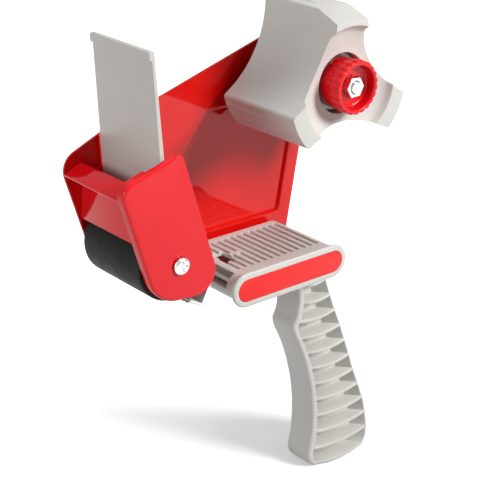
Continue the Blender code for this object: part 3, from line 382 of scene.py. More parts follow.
class Nodes:
    """Short names for a material's nodes."""

    def __init__(self, name):
        self.material = bpy.data.materials.new(name)
        self.material.use_nodes = True
        self.tree = self.material.node_tree
        self.shader = self.tree.nodes["Principled BSDF"]
        self.coords = self.tree.nodes.new("ShaderNodeTexCoord")
        self.bumps = None

    def link(self, source, target):
        self.tree.links.new(source, target)

    def noise(self, scale, detail, stretch=(1, 1, 1)):
        """Noise over the object, its scale in features per metre."""
        mapping = self.tree.nodes.new("ShaderNodeMapping")
        mapping.inputs["Scale"].default_value = [scale * s for s in stretch]
        self.link(self.coords.outputs["Object"], mapping.inputs["Vector"])
        noise = self.tree.nodes.new("ShaderNodeTexNoise")
        noise.inputs["Scale"].default_value = 1
        noise.inputs["Detail"].default_value = detail
        self.link(mapping.outputs["Vector"], noise.inputs["Vector"])
        return noise.outputs["Fac"]

    def spread(self, value, low, high, from_low=0.3, from_high=0.7):
        """A value moved to another range."""
        ranged = self.tree.nodes.new("ShaderNodeMapRange")
        ranged.inputs["From Min"].default_value = from_low
        ranged.inputs["From Max"].default_value = from_high
        ranged.inputs["To Min"].default_value = low
        ranged.inputs["To Max"].default_value = high
        self.link(value, ranged.inputs["Value"])
        return ranged.outputs["Result"]

    def blend(self, value, first, second):
        """A colour between two others."""
        mix = self.tree.nodes.new("ShaderNodeMix")
        mix.data_type = "RGBA"
        self.link(value, mix.inputs["Factor"])
        for socket, colour in ((mix.inputs[6], first), (mix.inputs[7], second)):
            if isinstance(colour, tuple):
                socket.default_value = (*colour, 1)
            else:
                self.link(colour, socket)
        return mix.outputs[2]

    def bump(self, value, depth, strength):
        """Add a bump, its depth in millimetres."""
        made = self.tree.nodes.new("ShaderNodeBump")
        made.inputs["Distance"].default_value = depth * MM
        made.inputs["Strength"].default_value = strength
        self.link(value, made.inputs["Height"])
        if self.bumps:
            self.link(self.bumps, made.inputs["Normal"])
        self.bumps = made.outputs["Normal"]
        self.link(self.bumps, self.shader.inputs["Normal"])

    def set(self, **values):
        for name, value in values.items():
            self.shader.inputs[name.replace("_", " ")].default_value = value


def paint(name, colour, deep):
    """Enamel: slight colour drift under a clear gloss that is faintly wavy."""
    made = Nodes(name)
    cloud = made.noise(28, 4)
    made.link(made.blend(made.spread(cloud, 0, 1), colour, deep), made.shader.inputs["Base Color"])
    made.link(made.spread(made.noise(400, 2), 0.26, 0.34), made.shader.inputs["Roughness"])
    made.bump(made.noise(60, 1), 0.01, 0.3)
    made.set(Coat_Weight=0.55, Coat_Roughness=0.05, Coat_IOR=1.45, Specular_IOR_Level=0.02)
    return made.material


def plastic(name, colour, deep, low=0.38, high=0.5, grain=0.02, grain_scale=1700, specular=0.45):
    """Moulded plastic: a fine eroded grain, slight colour drift and uneven gloss."""
    made = Nodes(name)
    cloud = made.noise(35, 5)
    speck = made.noise(2600, 2)
    tone = made.blend(made.spread(cloud, 0, 1), colour, deep)
    fine = made.blend(made.spread(speck, 0, 0.25, 0.55, 0.75), tone, tuple(c * 0.82 for c in deep))
    made.link(fine, made.shader.inputs["Base Color"])
    made.link(made.spread(made.noise(90, 4), low, high), made.shader.inputs["Roughness"])
    made.bump(made.noise(grain_scale, 2), grain, 0.6)
    made.bump(made.noise(60, 2), 0.06, 0.25)
    made.set(Specular_IOR_Level=specular)
    return made.material


def rubber(name, colour, deep):
    """Ground rubber with faint marks round it from grinding."""
    made = Nodes(name)
    cloud = made.noise(45, 5)
    made.link(made.blend(made.spread(cloud, 0, 1), colour, deep), made.shader.inputs["Base Color"])
    made.link(made.spread(made.noise(160, 4), 0.48, 0.62), made.shader.inputs["Roughness"])
    made.bump(made.noise(900, 3, (0.25, 2.2, 0.25)), 0.02, 0.5)
    made.set(Specular_IOR_Level=0.12)
    return made.material


def steel(name, colour, stretch=(1, 1, 1), low=0.16, high=0.32, scale=700, metallic=1.0):
    """Steel with fine lines along its working direction."""
    made = Nodes(name)
    grain = made.noise(scale, 3, stretch)
    made.link(made.blend(made.spread(grain, 0, 1), colour, tuple(c * 0.82 for c in colour)),
              made.shader.inputs["Base Color"])
    made.link(made.spread(grain, low, high), made.shader.inputs["Roughness"])
    made.bump(grain, 0.002, 0.3)
    made.set(Metallic=metallic)
    return made.material


# The plate's red is darker than the other sheets' only to match the photograph under these lamps
RED = paint("red_enamel", (0.82, 0.004, 0.012), (0.78, 0.003, 0.009))
# Painted shade: the side plate gets a darker copy of the same red enamel as the other sheets
SHADED_SIDE_PLATE_ENAMEL = paint("red_enamel_painted_shade", (0.72, 0.006, 0.004), (0.66, 0.004, 0.003))
GREY = plastic("grey_moulding", (0.655, 0.64, 0.61), (0.625, 0.61, 0.575))
FLAP_GREY = plastic("flap_moulding", (0.62, 0.59, 0.56), (0.60, 0.57, 0.53), 0.30, 0.42, 0.012)
KNOB_RED = plastic("red_knob_moulding", (0.80, 0.004, 0.010), (0.70, 0.003, 0.008),
                   0.16, 0.26, 0.01, 900, 0.3)
STRIP_RED = plastic("red_strip", (0.90, 0.030, 0.028), (0.88, 0.024, 0.022), 0.42, 0.52, 0.01, 900, 0.3)
BLACK_RUBBER = rubber("black_rubber_ground", (0.009, 0.0095, 0.009), (0.006, 0.0065, 0.006))
BLACK = plastic("black_moulding", (0.045, 0.045, 0.045), (0.03, 0.03, 0.03))
WHITE = plastic("white_bush", (0.74, 0.73, 0.69), (0.68, 0.67, 0.62))
STEEL = steel("bright_steel_turned", (0.72, 0.71, 0.70))
ROLLED = steel("rolled_steel", (0.78, 0.77, 0.74), (0.2, 3, 0.2), 0.3, 0.45, 500, 0.45)
# Painted shade: the thrust washer's steel is darkened to the shade in the gap round the knob's base; its
# higher roughness is its own
SHADED_MATTE_STEEL = steel("matte_steel_painted_shade", (0.20, 0.19, 0.18), (1, 1, 1), 0.35, 0.5, 600)
WIRE = steel("spring_wire", (0.55, 0.54, 0.53), (1, 1, 1), 0.2, 0.35, 900)
FIBRE = plastic("brown_fibre", (0.16, 0.10, 0.06), (0.10, 0.06, 0.035), 0.7, 0.9, 0.05, 1100, 0.2)


def place(thing, body, slot, look, *replaced, smooth=35):
    """Finish a piece: its material, its smooth faces, the body it rides on and what it stands for."""
    thing.data.materials.clear()
    thing.data.materials.append(look)
    thing.data.shade_smooth()
    thing.data.set_sharp_from_angle(angle=math.radians(smooth))
    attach(thing, body)
    if replaced:
        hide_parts(*replaced)
    return thing


# Side plate

def rear_x(z):
    """The side plate's leaning rear edge."""
    return PLATE_FOOT_X + (z - PLATFORM[2]) * PLATE_LEAN


def plate_line():
    """The side plate's outline."""
    low_x, foot = PLATFORM[0], PLATFORM[2]
    corner = head_point(0, HEAD_TOP)
    climb = corner[1] + (rear_x(foot) - corner[0]) * math.tan(TILT) - foot
    top_z = foot + climb / (1 - PLATE_LEAN * math.tan(TILT))
    lobe = head_arc(PLATE_HALF, 0, -math.radians(110), 36)
    corners = [lobe[-1], (low_x, foot), (rear_x(foot), foot), (rear_x(top_z), top_z),
               head_point(-11.7, HEAD_TOP), head_point(PLATE_HALF, 48.4), lobe[0]]
    return lobe[:-1] + rounded(corners, [0, 6, 6, 14, 0, 10, 0], 14)[:-1]


def panel_line(inset):
    """The pressed panel's outline, set in by a distance."""
    low, high, front = 142.2 + inset, 209.2 - inset, -87.0 + inset
    corners = [(front, low), (rear_x(low) - 7 - inset, low), (rear_x(high) - 7 - inset, high),
               (-66.5 + inset, high), (-81.0 + inset, 191.5 - inset), (front, 175.9 - inset)]
    return rounded(corners, [max(4.2 - inset, 0.9)] * 6, 8)


def side_plate():
    """Painted sheet with a softly pressed panel."""
    shape = bmesh.new()
    steps = 10
    rows = []
    for k in range(steps + 1):
        t = k / steps
        depth = 2.2 * (t - math.sin(2 * math.pi * t) / (2 * math.pi))
        rows.append([shape.verts.new((x, INNER + depth, z)) for x, z in panel_line(0.1 + 2.3 * t)])
    for low, high in zip(rows, rows[1:]):
        for k in range(len(low)):
            j = (k + 1) % len(low)
            shape.faces.new((low[k], low[j], high[j], high[k]))
    shape.faces.new(rows[-1])
    outer = [shape.verts.new((x, INNER, z)) for x, z in plate_line()]
    loops = [shape.edges.new((outer[k], outer[(k + 1) % len(outer)])) for k in range(len(outer))]
    loops += [shape.edges.get((rows[0][k], rows[0][(k + 1) % len(rows[0])])) for k in range(len(rows[0]))]
    bmesh.ops.triangle_fill(shape, use_beauty=True, edges=loops)
    thing = pressed_sheet("side_plate_painted", shape, 0.28)
    place(thing, "frame", "red_paint", SHADED_SIDE_PLATE_ENAMEL, "side_plate")


# Near cheek: a pan with a flange along its front, its top and round its lobe

EDGE_RADIUS = 1.5
FLANGE = 5.0
TOP_FLANGE = 2.7
TOP_FADE = [(-14.6, 0.0), (-14.0, 0.3), (-13.2, 0.6), (-12.2, 0.85), (-11.0, 1.0), (-7.0, 1.0), (-3.0, 1.0),
            (1.4, 1.0)]
UNDER_FADE = [(0.25, 0.85), (0.5, 0.6), (0.75, 0.3), (1.0, 0.0)]


def cheek_flange():
    """The flanged part of the cheek's outline: each point, its share of the rounding and its depth."""
    lobe = head_arc(HEAD_HALF, 0, TILT - math.pi / 2, 28)
    front_top = [head_point(0, HEAD_TOP), head_point(HEAD_HALF, HEAD_TOP), head_point(HEAD_HALF, 0)]
    corner = rounded(front_top, [0, 7.2, 0], 14)[1:-1]
    under = Vector(head_point(0, -HEAD_HALF / math.cos(TILT)))
    rows = [(head_point(forward, HEAD_TOP), share, TOP_FLANGE) for forward, share in TOP_FADE]
    rows += [(head_point(2.0, HEAD_TOP), 1.0, FLANGE)]
    rows += [(point, 1.0, FLANGE) for point in corner + lobe]
    rows += [(tuple(Vector(lobe[-1]).lerp(under, t)), share, FLANGE) for t, share in UNDER_FADE]
    return rows, lobe[-1]


def near_cheek():
    """Face, rounded edge and flange as one sheet."""
    rows_out, lobe_end = cheek_flange()
    flanged = [point for point, _, _ in rows_out]
    heel = head_point(-HEAD_HALF, -HEAD_HALF * (1 + math.sin(TILT)) / math.cos(TILT))
    corners = [lobe_end, heel, head_point(-HEAD_HALF, HEAD_TOP), head_point(0, HEAD_TOP)]
    bare = rounded(corners, [0, 11, 3, 0], 14)[1:-1]
    inner = inset_line(flanged + bare, EDGE_RADIUS)
    y_face = -INNER - SHEET
    shape = bmesh.new()
    rows = []
    steps = 6
    for k in range(steps + 1):
        angle = math.pi / 2 * k / steps
        y = y_face + EDGE_RADIUS * (1 - math.cos(angle))
        row = []
        for (at, share, _), into in zip(rows_out, inner):
            x, z = Vector(at).lerp(Vector(into), (1 - math.sin(angle)) * share)
            row.append(shape.verts.new((x, y, z)))
        rows.append(row)
    rows.append([shape.verts.new((x, y_face + depth, z)) for (x, z), _, depth in rows_out])
    for low, high in zip(rows, rows[1:]):
        for k in range(len(flanged) - 1):
            shape.faces.new((low[k], low[k + 1], high[k + 1], high[k]))
    shape.faces.new(rows[0] + [shape.verts.new((x, y_face, z)) for x, z in bare])
    thing = pressed_sheet("near_cheek_painted", shape, 0.25)
    place(thing, "frame", "red_paint", RED, "near_cheek")


def crossbar():
    """Web and visor with a rounded ridge, and the tabs that carry the flap's pin."""
    reach = INNER - GAP
    foot, ridge, visor = (-142.6, 170.1), (-140.1, 198.5), (-151.0, 193.0)
    bar = sweep_sheet("crossbar_sheet", [foot, ridge, visor], -reach, reach, 1.6)
    bevel(bar, 0.25, 2, 60)
    tab = rounded([(-141.3, 179.5), (-122.2, 179.5), (-122.2, 193.5), (-141.3, 193.5)], [0.6, 3, 3, 0.6], 6)
    eye = circle(FLAP_PIN, 1.8, 32)
    near = plate("tab_near", [tab, eye], -reach, -reach + SHEET, 0.2)
    far = plate("tab_far", [tab, eye], reach - SHEET, reach, 0.2)
    thing = join("crossbar_painted", [bar, near, far])
    place(thing, "frame", "red_paint", RED, "head_crossbar")


# Roller

def roller():
    """Rubber sleeve, and the hollow core and bushes inside it."""
    near, far = -22.0, 24.3
    profile = rounded([(16.8, near), (19.5, near), (19.5, far), (16.8, far)], [0.4, 0.9, 0.9, 0.4], 6)
    sleeve = lathe("roller_sleeve_rubber", profile, ROLLER, 128)
    place(sleeve, "roller", "black_rubber", BLACK_RUBBER, "roller_sleeve")
    place(softened("roller_core", 0.3), "roller", "black_plastic", BLACK, "roller_core")
    for side in ("near", "far"):
        node = "roller_bush_" + side
        place(softened(node, 0.2), "roller", "white_plastic", WHITE, node)
    place(softened("roller_axle", 0.2), "frame", "steel", STEEL, "roller_axle")


def screw(node, centre, y_head, facing, radius, height, shank, length):
    """A domed cross-slotted screw; its head's underside is at y_head and it faces -Y when facing is 1."""
    profile = [(0, height), (0.35, 0.985), (0.6, 0.93), (0.8, 0.80), (0.93, 0.58), (0.99, 0.3), (0.97, 0.06)]
    points = [(0, height)] + [(radius * r, height * h) for r, h in profile[1:]]
    points += [(radius * 0.93, 0), (shank, 0), (shank, -length), (0, -length)]
    points = [(r, y_head - facing * h) for r, h in points]
    thing = lathe(node + "_finished", points, centre, 48, False)
    arm, half = radius * 0.55, 0.5
    tip, floor = y_head - facing * (height + 1), y_head - facing * (height - 1.0)
    low, high = min(tip, floor), max(tip, floor)
    x, z = centre
    for wide, tall in ((half, arm), (arm, half)):
        combine(thing, box("slot", (x - wide, low, z - tall), (x + wide, high, z + tall)))
    bevel(thing, 0.12, 2, 40)
    place(thing, "frame", "steel", STEEL, node)


def screws():
    """The two roller screws and the three grip screws."""
    outer = INNER + SHEET + GAP
    screw("roller_screw_near", ROLLER, -outer, 1, 4.5, 2.2, 2.0, 7.7)
    screw("roller_screw_far", ROLLER, outer, -1, 4.5, 2.2, 2.0, 7.7)
    front, rear = PLATFORM[0] + SCREW_INSET, PLATFORM[1] - SCREW_INSET
    middle = (PLATFORM[2] + PLATFORM[3]) / 2
    for row, x in (("front", front), ("middle", (front + rear) / 2), ("rear", rear)):
        screw("grip_screw_" + row, (x, middle), outer, -1, 3.4, 2.0, 1.7, 12.0)


# Flap

def flap():
    """Tape flap with rounded edges, its barrel and lip."""
    up = Vector((-math.sin(FLAP_LEAN), math.cos(FLAP_LEAN)))
    across = Vector((-math.cos(FLAP_LEAN), -math.sin(FLAP_LEAN)))
    base = Vector(FLAP_PIN)
    top = base + up * FLAP_HEIGHT
    corners = [base + across * 1.4, top + across * 0.85 - up * 4.2, top + across * 2.15 - up * 4.2,
               top + across * 2.15, top - across * 0.85, base - across * 1.4]
    outline = rounded([tuple(p) for p in corners], [0, 0.5, 0.5, 0.9, 0.7, 0], 5)
    reach = INNER - 2
    blade = plate("flap_sheet", [outline], -reach, reach, 0.35, 3)
    for vertex in blade.data.vertices:
        vertex.co.y *= 1 - 0.05 * max(0.0, (vertex.co.z / MM - FLAP_PIN[1]) / FLAP_HEIGHT)
    ring = rounded([(FLAP_BORE, BARREL_NEAR), (3.2, BARREL_NEAR), (3.2, reach), (FLAP_BORE, reach)],
                   [0.2, 0.4, 0.4, 0.2], 4)
    barrel = lathe("flap_barrel", ring, FLAP_PIN, 40)
    (x, z), half = FLAP_PIN, 3.8
    combine(blade, box("flap_room", (x - half, -INNER, z - half), (x + half, BARREL_NEAR, z + half)))
    bore = [(0, -INNER), (FLAP_BORE, -INNER), (FLAP_BORE, INNER), (0, INNER)]
    combine(blade, lathe("flap_bore", bore, FLAP_PIN, 32, False))
    thing = join("tape_flap_moulded", [blade, barrel])
    place(thing, "flap", "grey_plastic", FLAP_GREY, "tape_flap")
    place(softened("flap_pin", 0.2), "frame", "steel", STEEL, "flap_pin")


def coil(centre, radius, turns, pitch, start):
    """Points of a coil about an axis along Y."""
    per_turn = 48
    points = []
    for step in range(round(turns * per_turn) + 1):
        share = step / per_turn
        angle = start + share * 2 * math.pi
        points.append((centre[0] + radius * math.cos(angle), centre[1] + pitch * share,
                       centre[2] + radius * math.sin(angle)))
    return points


def springs():
    """The flap's return spring and the hub's tension spring, wound as round wire."""
    wire, room, tab = 0.35, 0.5, 0.6
    radius = 1.5 + room + wire
    first_y = -24.5 + tab + wire
    points = coil((FLAP_PIN[0], first_y, FLAP_PIN[1]), radius, 5.25, 1.35, -math.pi / 2)
    toe = (-140.15 + tab, first_y, FLAP_PIN[1] - radius)
    heel = points[-1]
    wound = tube("flap_spring_wound", [toe] + points + [(heel[0], heel[1], heel[2] + 9)], wire)
    place(wound, "frame", "steel", WIRE, "flap_spring", smooth=60)
    wire, turns = 0.8, 4
    start_y = KNOB_FAR + GAP + WASHER + GAP + wire
    end_y = HUB_FLOOR - GAP - wire
    points = coil((HUB[0], start_y, HUB[1]), 9.5, turns, (end_y - start_y) / turns, 0)
    wound = tube("tension_spring_wound", points, wire)
    place(wound, "hub", "steel", WIRE, "tension_spring", smooth=60)


# Blade and holder

def blade():
    """Blade holder with rounded bends; the blade and its rivets with softened edges."""
    reach = INNER - GAP
    top, fold, toe = (-103.4, 147.5), (-110.5, 133.4), (-117.5, 137.4)
    holder = sweep_sheet("holder_sheet", [top, fold, toe], -reach, reach, 1.2)
    bevel(holder, 0.2, 2, 60)
    direction = (Vector(fold) - Vector(top)).normalized()
    low = Vector(top) + direction * 6.0
    far_tab = [top, tuple(low), (-94.0, low[1]), (-94.0, top[1])]
    near_tab = [top, tuple(low), (-114.8, ROLLER[1] - 12.2), (-114.8, ROLLER[1] - 6.2)]
    far = plate("holder_far", [rounded(far_tab, [0, 0, 1.5, 1.5], 5)], reach - SHEET, reach, 0.2)
    near = plate("holder_near", [rounded(near_tab, [0, 0, 1.5, 1.5], 5)], -reach, -reach + SHEET, 0.2)
    place(join("blade_holder_bent", [holder, far, near]), "frame", "steel", ROLLED, "blade_holder")
    place(softened("blade", 0.08), "frame", "steel", STEEL, "blade")
    for side in ("near", "far"):
        node = "blade_rivet_" + side
        place(softened(node, 0.15), "frame", "steel", STEEL, node)


# Hub

def hub_line(inset=0.0):
    """The three-lobed section, set in by a wall, with softened lobe corners."""
    tip_steps, hollow_steps = 14, 36
    tip, waist = HUB_R - inset, HUB_WAIST - inset
    lobe_half = LOBE_HALF - inset / HUB_R
    hollow_half = math.pi / 3 - lobe_half
    centre_distance = (tip ** 2 - waist ** 2) / (2 * (tip * math.cos(hollow_half) - waist))
    hollow = centre_distance - waist
    sweep = math.asin(tip * math.sin(hollow_half) / hollow)
    arcs = []
    for lobe in LOBES:
        arcs.append(arc(HUB, tip, lobe + lobe_half, lobe - lobe_half, tip_steps))
        valley = lobe - math.pi / 3
        centre = (HUB[0] + centre_distance * math.cos(valley), HUB[1] + centre_distance * math.sin(valley))
        facing = valley + math.pi
        arcs.append(arc(centre, hollow, facing - sweep, facing + sweep, hollow_steps))
    points = []
    for k, line in enumerate(arcs):
        corner = Vector(line[0])
        before = Vector(arcs[k - 1][-2])
        after = Vector(line[1])
        for step in range(1, 6):
            t = step / 6
            points.append(tuple(before * (1 - t) ** 2 + corner * 2 * t * (1 - t) + after * t ** 2))
        points += line[1:-1]
    return points


def rib_ring(lobe, shift, y, height):
    """A rib's small section on a lobe's face, at one Y."""
    ring = []
    for step in range(9):
        t = step / 8
        angle = lobe + shift + (t - 0.5) * 0.046
        radius = HUB_R - 0.25 + height * math.sin(math.pi * t)
        ring.append((HUB[0] + radius * math.cos(angle), y, HUB[1] + radius * math.sin(angle)))
    for angle in (lobe + shift + 0.018, lobe + shift - 0.018):
        ring.append((HUB[0] + (HUB_R - 0.8) * math.cos(angle), y, HUB[1] + (HUB_R - 0.8) * math.sin(angle)))
    return ring


def slope_block(name, sink):
    """A block over the sloping near end of the top lobe, sunk by a wall."""
    length, drop = 17.5, 6.6
    shape = bmesh.new()
    size = Matrix.Diagonal((2 * HUB_R, 2 * length, HUB_R, 1))
    bmesh.ops.create_cube(shape, size=1, matrix=Matrix.Translation((0, -length, HUB_R / 2)) @ size)
    place_at = Matrix.Translation((HUB[0], HUB_NEAR + length, HUB[1] + HUB_R - sink))
    lean = Matrix.Rotation(math.atan2(drop, length), 4, "X")
    bmesh.ops.transform(shape, matrix=place_at @ lean, verts=shape.verts)
    return new_object(name, scaled_mesh(name, shape))


def hub():
    """Lobed shell with a dished end and a well; three low ribs on each lobe fade out before the open side."""
    shell = stack("hub_shell", [at_y(hub_line(), y) for y in (HUB_NEAR, HUB_SHELL_FAR)])
    combine(shell, slope_block("hub_slope", 0))
    pocket = stack("hub_pocket", [at_y(hub_line(HUB_WALL), y) for y in (HUB_NEAR + 9, HUB_FAR + 2)])
    combine(pocket, slope_block("hub_slope_wall", HUB_WALL))
    combine(shell, pocket)
    curve = ((0, -2), (31.4, -2), (30.0, -0.6), (29.1, 0.4), (28.3, 2.0), (27.2, 3.3), (25.2, 4.3),
             (21.5, 5.5), (18.3, 6.3), (17.3, 6.5), (0, 6.5))
    dish = [(radius, HUB_NEAR + depth) for radius, depth in curve]
    combine(shell, lathe("hub_dish", dish, HUB, 128, False))
    start, end = HUB_NEAR + 7.5, HUB_FLOOR + 2.5
    wall = [(17.3, start), (17.3, end), (7.2, end), (7.2, 22.3), (12, 22.3), (12, HUB_FAR), (0, HUB_FAR),
            (0, start)]
    combine(shell, lathe("hub_well", wall, HUB, 96, False), "UNION")
    near, far = HUB_NEAR - 2, HUB_FAR + 2
    well = [(0, near), (15.3, near), (15.3, HUB_FLOOR), (5.0, HUB_FLOOR), (5.0, far), (0, far)]
    combine(shell, lathe("hub_bore", well, HUB, 96, False))
    bevel(shell, 0.8, 4, 38)
    fade = ((HUB_SHELL_FAR - 0.2, 0.55), (HUB_SHELL_FAR - 0.6, 0.75), (-6.0, 0.75), (-12.0, 0.45),
            (-14.0, 0.05))
    ribs = []
    for lobe in LOBES:
        for shift in (-7.5, 0, 7.5):
            ribs.append(stack("hub_rib", [rib_ring(lobe, math.radians(shift), y, h) for y, h in fade]))
    thing = join("hub_moulded", [shell] + ribs)
    place(thing, "hub", "grey_plastic", GREY, "hub_body", smooth=32)


def knob():
    """Fluted cup with rounded teeth, a smooth skirt and a floor for the nut."""
    teeth, per_tooth = 22, 10
    count = teeth * per_tooth
    outer, inner = 13.4, 10.8
    near, far, floor = KNOB_NEAR, KNOB_FAR, KNOB_NEAR + 5.6
    rows = [(5.2, floor, 0), (inner - 1.0, floor, 0), (inner - 0.3, floor - 0.3, 0), (inner, floor - 1.0, 0),
            (inner, near + 0.9, 0), (inner + 0.2, near + 0.3, 0), (inner + 0.6, near, 0),
            (outer - 0.9, near, 0.3), (outer - 0.35, near + 0.15, 0.8), (outer, near + 0.7, 1),
            (outer, near + 5.6, 1), (outer - 0.2, near + 6.6, 0.8), (outer - 0.7, near + 7.4, 0.35),
            (12.65, near + 8.6, 0.15), (12.6, far - 0.5, 0.1), (12.3, far, 0), (5.2, far, 0)]
    shape = bmesh.new()
    rings = []
    for radius, y, share in rows:
        ring = []
        for k in range(count):
            phase = (k % per_tooth) / per_tooth
            dip = max(0.0, math.cos(2 * math.pi * phase)) ** 0.8
            r = radius - 0.75 * share * dip
            angle = 2 * math.pi * k / count
            ring.append(shape.verts.new((HUB[0] + r * math.cos(angle), y, HUB[1] + r * math.sin(angle))))
        rings.append(ring)
    for low, high in zip(rings, rings[1:] + rings[:1]):
        for k in range(count):
            j = (k + 1) % count
            shape.faces.new((low[k], low[j], high[j], high[k]))
    bmesh.ops.recalc_face_normals(shape, faces=shape.faces)
    thing = new_object("tension_knob_moulded", scaled_mesh("tension_knob_moulded", shape))
    place(thing, "knob", "red_plastic", KNOB_RED, "tension_knob", smooth=50)
    hexagon = circle(HUB, 5.7, 6)
    hole = circle(HUB, 3.1, 40)
    nut = plate("knob_nut_finished", [hexagon, hole], KNOB_NEAR + 1.6, KNOB_NEAR + 6.6, 0.7, 4)
    place(nut, "knob", "steel", STEEL, "knob_nut")


def hub_hardware():
    """Stud, washers and bush."""
    end = KNOB_NEAR + 0.8
    shaft = rounded([(0, end), (3.0, end), (3.0, 28.6), (0, 28.6)], [0, 0.5, 0, 0], 5)
    stud = lathe("stud_shaft", shaft, HUB, 40, False)
    head = plate("stud_head", [circle(HUB, 5.77, 6)], 29.5, 33.5, 0.5, 3)
    neck = lathe("stud_neck", [(0, 28.4), (3.0, 28.4), (3.0, 30.0), (0, 30.0)], HUB, 40, False)
    place(join("hub_stud_finished", [stud, neck, head]), "frame", "steel", STEEL, "hub_stud")
    place(softened("stud_washer", 0.15), "frame", "steel", STEEL, "stud_washer")
    place(softened("hub_bush", 0.15), "frame", "steel", STEEL, "hub_bush")
    # Painted shade: the thrust washer's steel is darkened to the shade round the knob's base
    place(softened("thrust_washer", 0.15), "thrust", "steel", SHADED_MATTE_STEEL, "thrust_washer")
    place(softened("friction_washer", 0.15), "frame", "fibre", FIBRE, "friction_washer")


# Platform and grip

def capsule(x, y0, y1, width, z0, z1):
    """A groove cutter with round ends."""
    radius = width / 2
    line = arc((x, y1 - radius), radius, 0, math.pi, 8)
    line += arc((x, y0 + radius), radius, math.pi, 2 * math.pi, 8)
    return stack("groove", [[(px, py, z) for px, py in line] for z in (z0, z1)])


def platform():
    """The platform: a rounded rim at its near end that runs down into the grooved top, hollow inside."""
    x0, x1, z0, z1 = PLATFORM
    rim = ((0, 0.9), (0.12, 0.5), (0.4, 0.2), (0.9, 0.0), (1.5, 0.05), (2.1, 0.3), (2.8, 0.9), (3.5, 1.5),
           (4.3, 1.85), (5.4, 2.0))
    rows = [(PLATFORM_NEAR + back, inset) for back, inset in rim]
    rows += [(0, 2.0), (PLATFORM_FAR - 0.4, 2.0), (PLATFORM_FAR, 2.3)]
    body = stack("platform", [at_y(stadium(x0, x1, z0, z1, inset), y) for y, inset in rows])
    hollow = [at_y(stadium(x0, x1, z0, z1, 4.5), y) for y in (PLATFORM_NEAR + 3.4, PLATFORM_FAR + 2)]
    combine(body, stack("hollow", hollow))
    seat = [at_y(stadium(x0, x1, z0, z1, 3.0), y) for y in (PLATFORM_NEAR - 2, PLATFORM_NEAR + 1.4)]
    combine(body, stack("seat", seat))
    top = z1 - 2.0
    near, far = PLATFORM_NEAR + 10.8, INNER - 8.7
    land = (near + far) / 2
    cutters = []
    for k in range(13):
        x = ROLLER[0] + 43.4 + 4.3 * k
        spans = [(near, far)] if k >= 4 else [(near, land - 1.0), (land + 1.0, far)]
        cutters += [capsule(x, a, b, 2.1, top - 1.2, top + 2) for a, b in spans]
    combine(body, join("grooves", cutters))
    notch = box("notch", (-80.55, -6.8, top - 6), (-73.05, 5.7, top + 2))
    combine(body, notch)
    middle = (z0 + z1) / 2
    for angle in (math.radians(119), math.radians(165)):
        slot = box("nose_slot", (-2.3, PLATFORM_NEAR + 8.5, -1.9), (2.3, INNER - 8.5, 1.9))
        x, z = arc((x0 + 9.0, middle), 5.8, angle, angle, 1)[0]
        slot.data.transform(Matrix.Translation((x * MM, 0, z * MM)) @ Matrix.Rotation(-angle, 4, "Y"))
        combine(body, slot)
    bevel(body, 0.3, 3, 40)
    outline = stadium(x0, x1, z0, z1, 3.3, 28)
    strip = plate("grip_strip_inlaid", [outline], PLATFORM_NEAR, PLATFORM_NEAR + 1.2, 0.18)
    place(strip, "frame", "red_plastic", STRIP_RED, "grip_strip")
    start = PLATFORM_NEAR + 3
    parts = [body]
    for x in (x0 + SCREW_INSET, (x0 + x1) / 2, x1 - SCREW_INSET):
        rows = [(2.0, start), (4.0, start), (4.0, BOSS_FAR - 0.3), (3.7, BOSS_FAR), (2.0, BOSS_FAR)]
        parts.append(lathe("boss", rows, (x, middle), 40))
    return parts


def smooth_value(places, values, at):
    """The value at a place, on a smooth curve through points."""
    last = len(places) - 1
    k = next((k for k in range(last) if at <= places[k + 1]), last - 1)
    before, after = max(k - 1, 0), min(k + 2, last)
    span = places[k + 1] - places[k]
    t = (at - places[k]) / span
    leaving = (values[k + 1] - values[before]) / (places[k + 1] - places[before]) * span
    arriving = (values[after] - values[k]) / (places[after] - places[k]) * span
    return ((2 * t ** 3 - 3 * t ** 2 + 1) * values[k] + (t ** 3 - 2 * t ** 2 + t) * leaving
            + (3 * t ** 2 - 2 * t ** 3) * values[k + 1] + (t ** 3 - t ** 2) * arriving)


def smooth_edge(shares, z):
    """An edge of the grip at a height."""
    drop = min(max((GRIP_TOP - z) / GRIP_TOP, 0.0), 1.0)
    depths, drops = zip(*shares)
    return GRIP_FRONT_X + smooth_value(drops, depths, drop) * GRIP_DEPTH


def grip_half(z, x):
    """Half the grip's width at a place between its front wall and its rear."""
    front, rear = smooth_edge(GRIP_FRONT, z) + 2.4, smooth_edge(GRIP_REAR, z) - 0.8
    share = min(max((x - front) / (rear - front), 0.0), 1.0)
    return smooth_value(*zip(*GRIP_BULGE), share)


def front_wall_ring(z, inset=0.0):
    """The front wall's level section, its front corners well rounded."""
    edge = smooth_edge(GRIP_FRONT, z)
    front, half = edge + inset, 9.25 - inset
    back, wide = edge + 3.4, half + 0.35
    line = rounded([(back, -wide), (front, -half), (front, half), (back, wide)], [0.6, 1.8, 1.8, 0.6], 6)
    return [(x, y, z) for x, y in line]


def rear_wall_ring(z, inset=0.0):
    """The rear wall's level section: a broad wedge whose inner faces lean out to a thin rim."""
    rear = smooth_edge(GRIP_REAR, z)
    wide, half, end = 9.5 - inset, 9.1 - inset, rear - inset
    corners = [(rear - 7.4, 1.9), (rear - 1.5, wide), (end, half), (end, -half), (rear - 1.5, -wide),
               (rear - 7.4, -1.9)]
    line = rounded(corners, [0, 0.35, 1.5, 1.5, 0.35, 0], 6)
    return [(x, y, z) for x, y in line]


def level_ring(z, inset):
    """The whole section at a height, for a rib or the foot."""
    front, rear = smooth_edge(GRIP_FRONT, z) + 1.0, smooth_edge(GRIP_REAR, z) - 0.5
    side = [(front, 8.4 - inset)]
    steps = 24
    for k in range(steps + 1):
        x = front + 1.0 + (rear - front - 1.0) * k / steps
        side.append((x, grip_half(z, x) - inset))
    return [(x, y, z) for x, y in side] + [(x, -y, z) for x, y in reversed(side)]


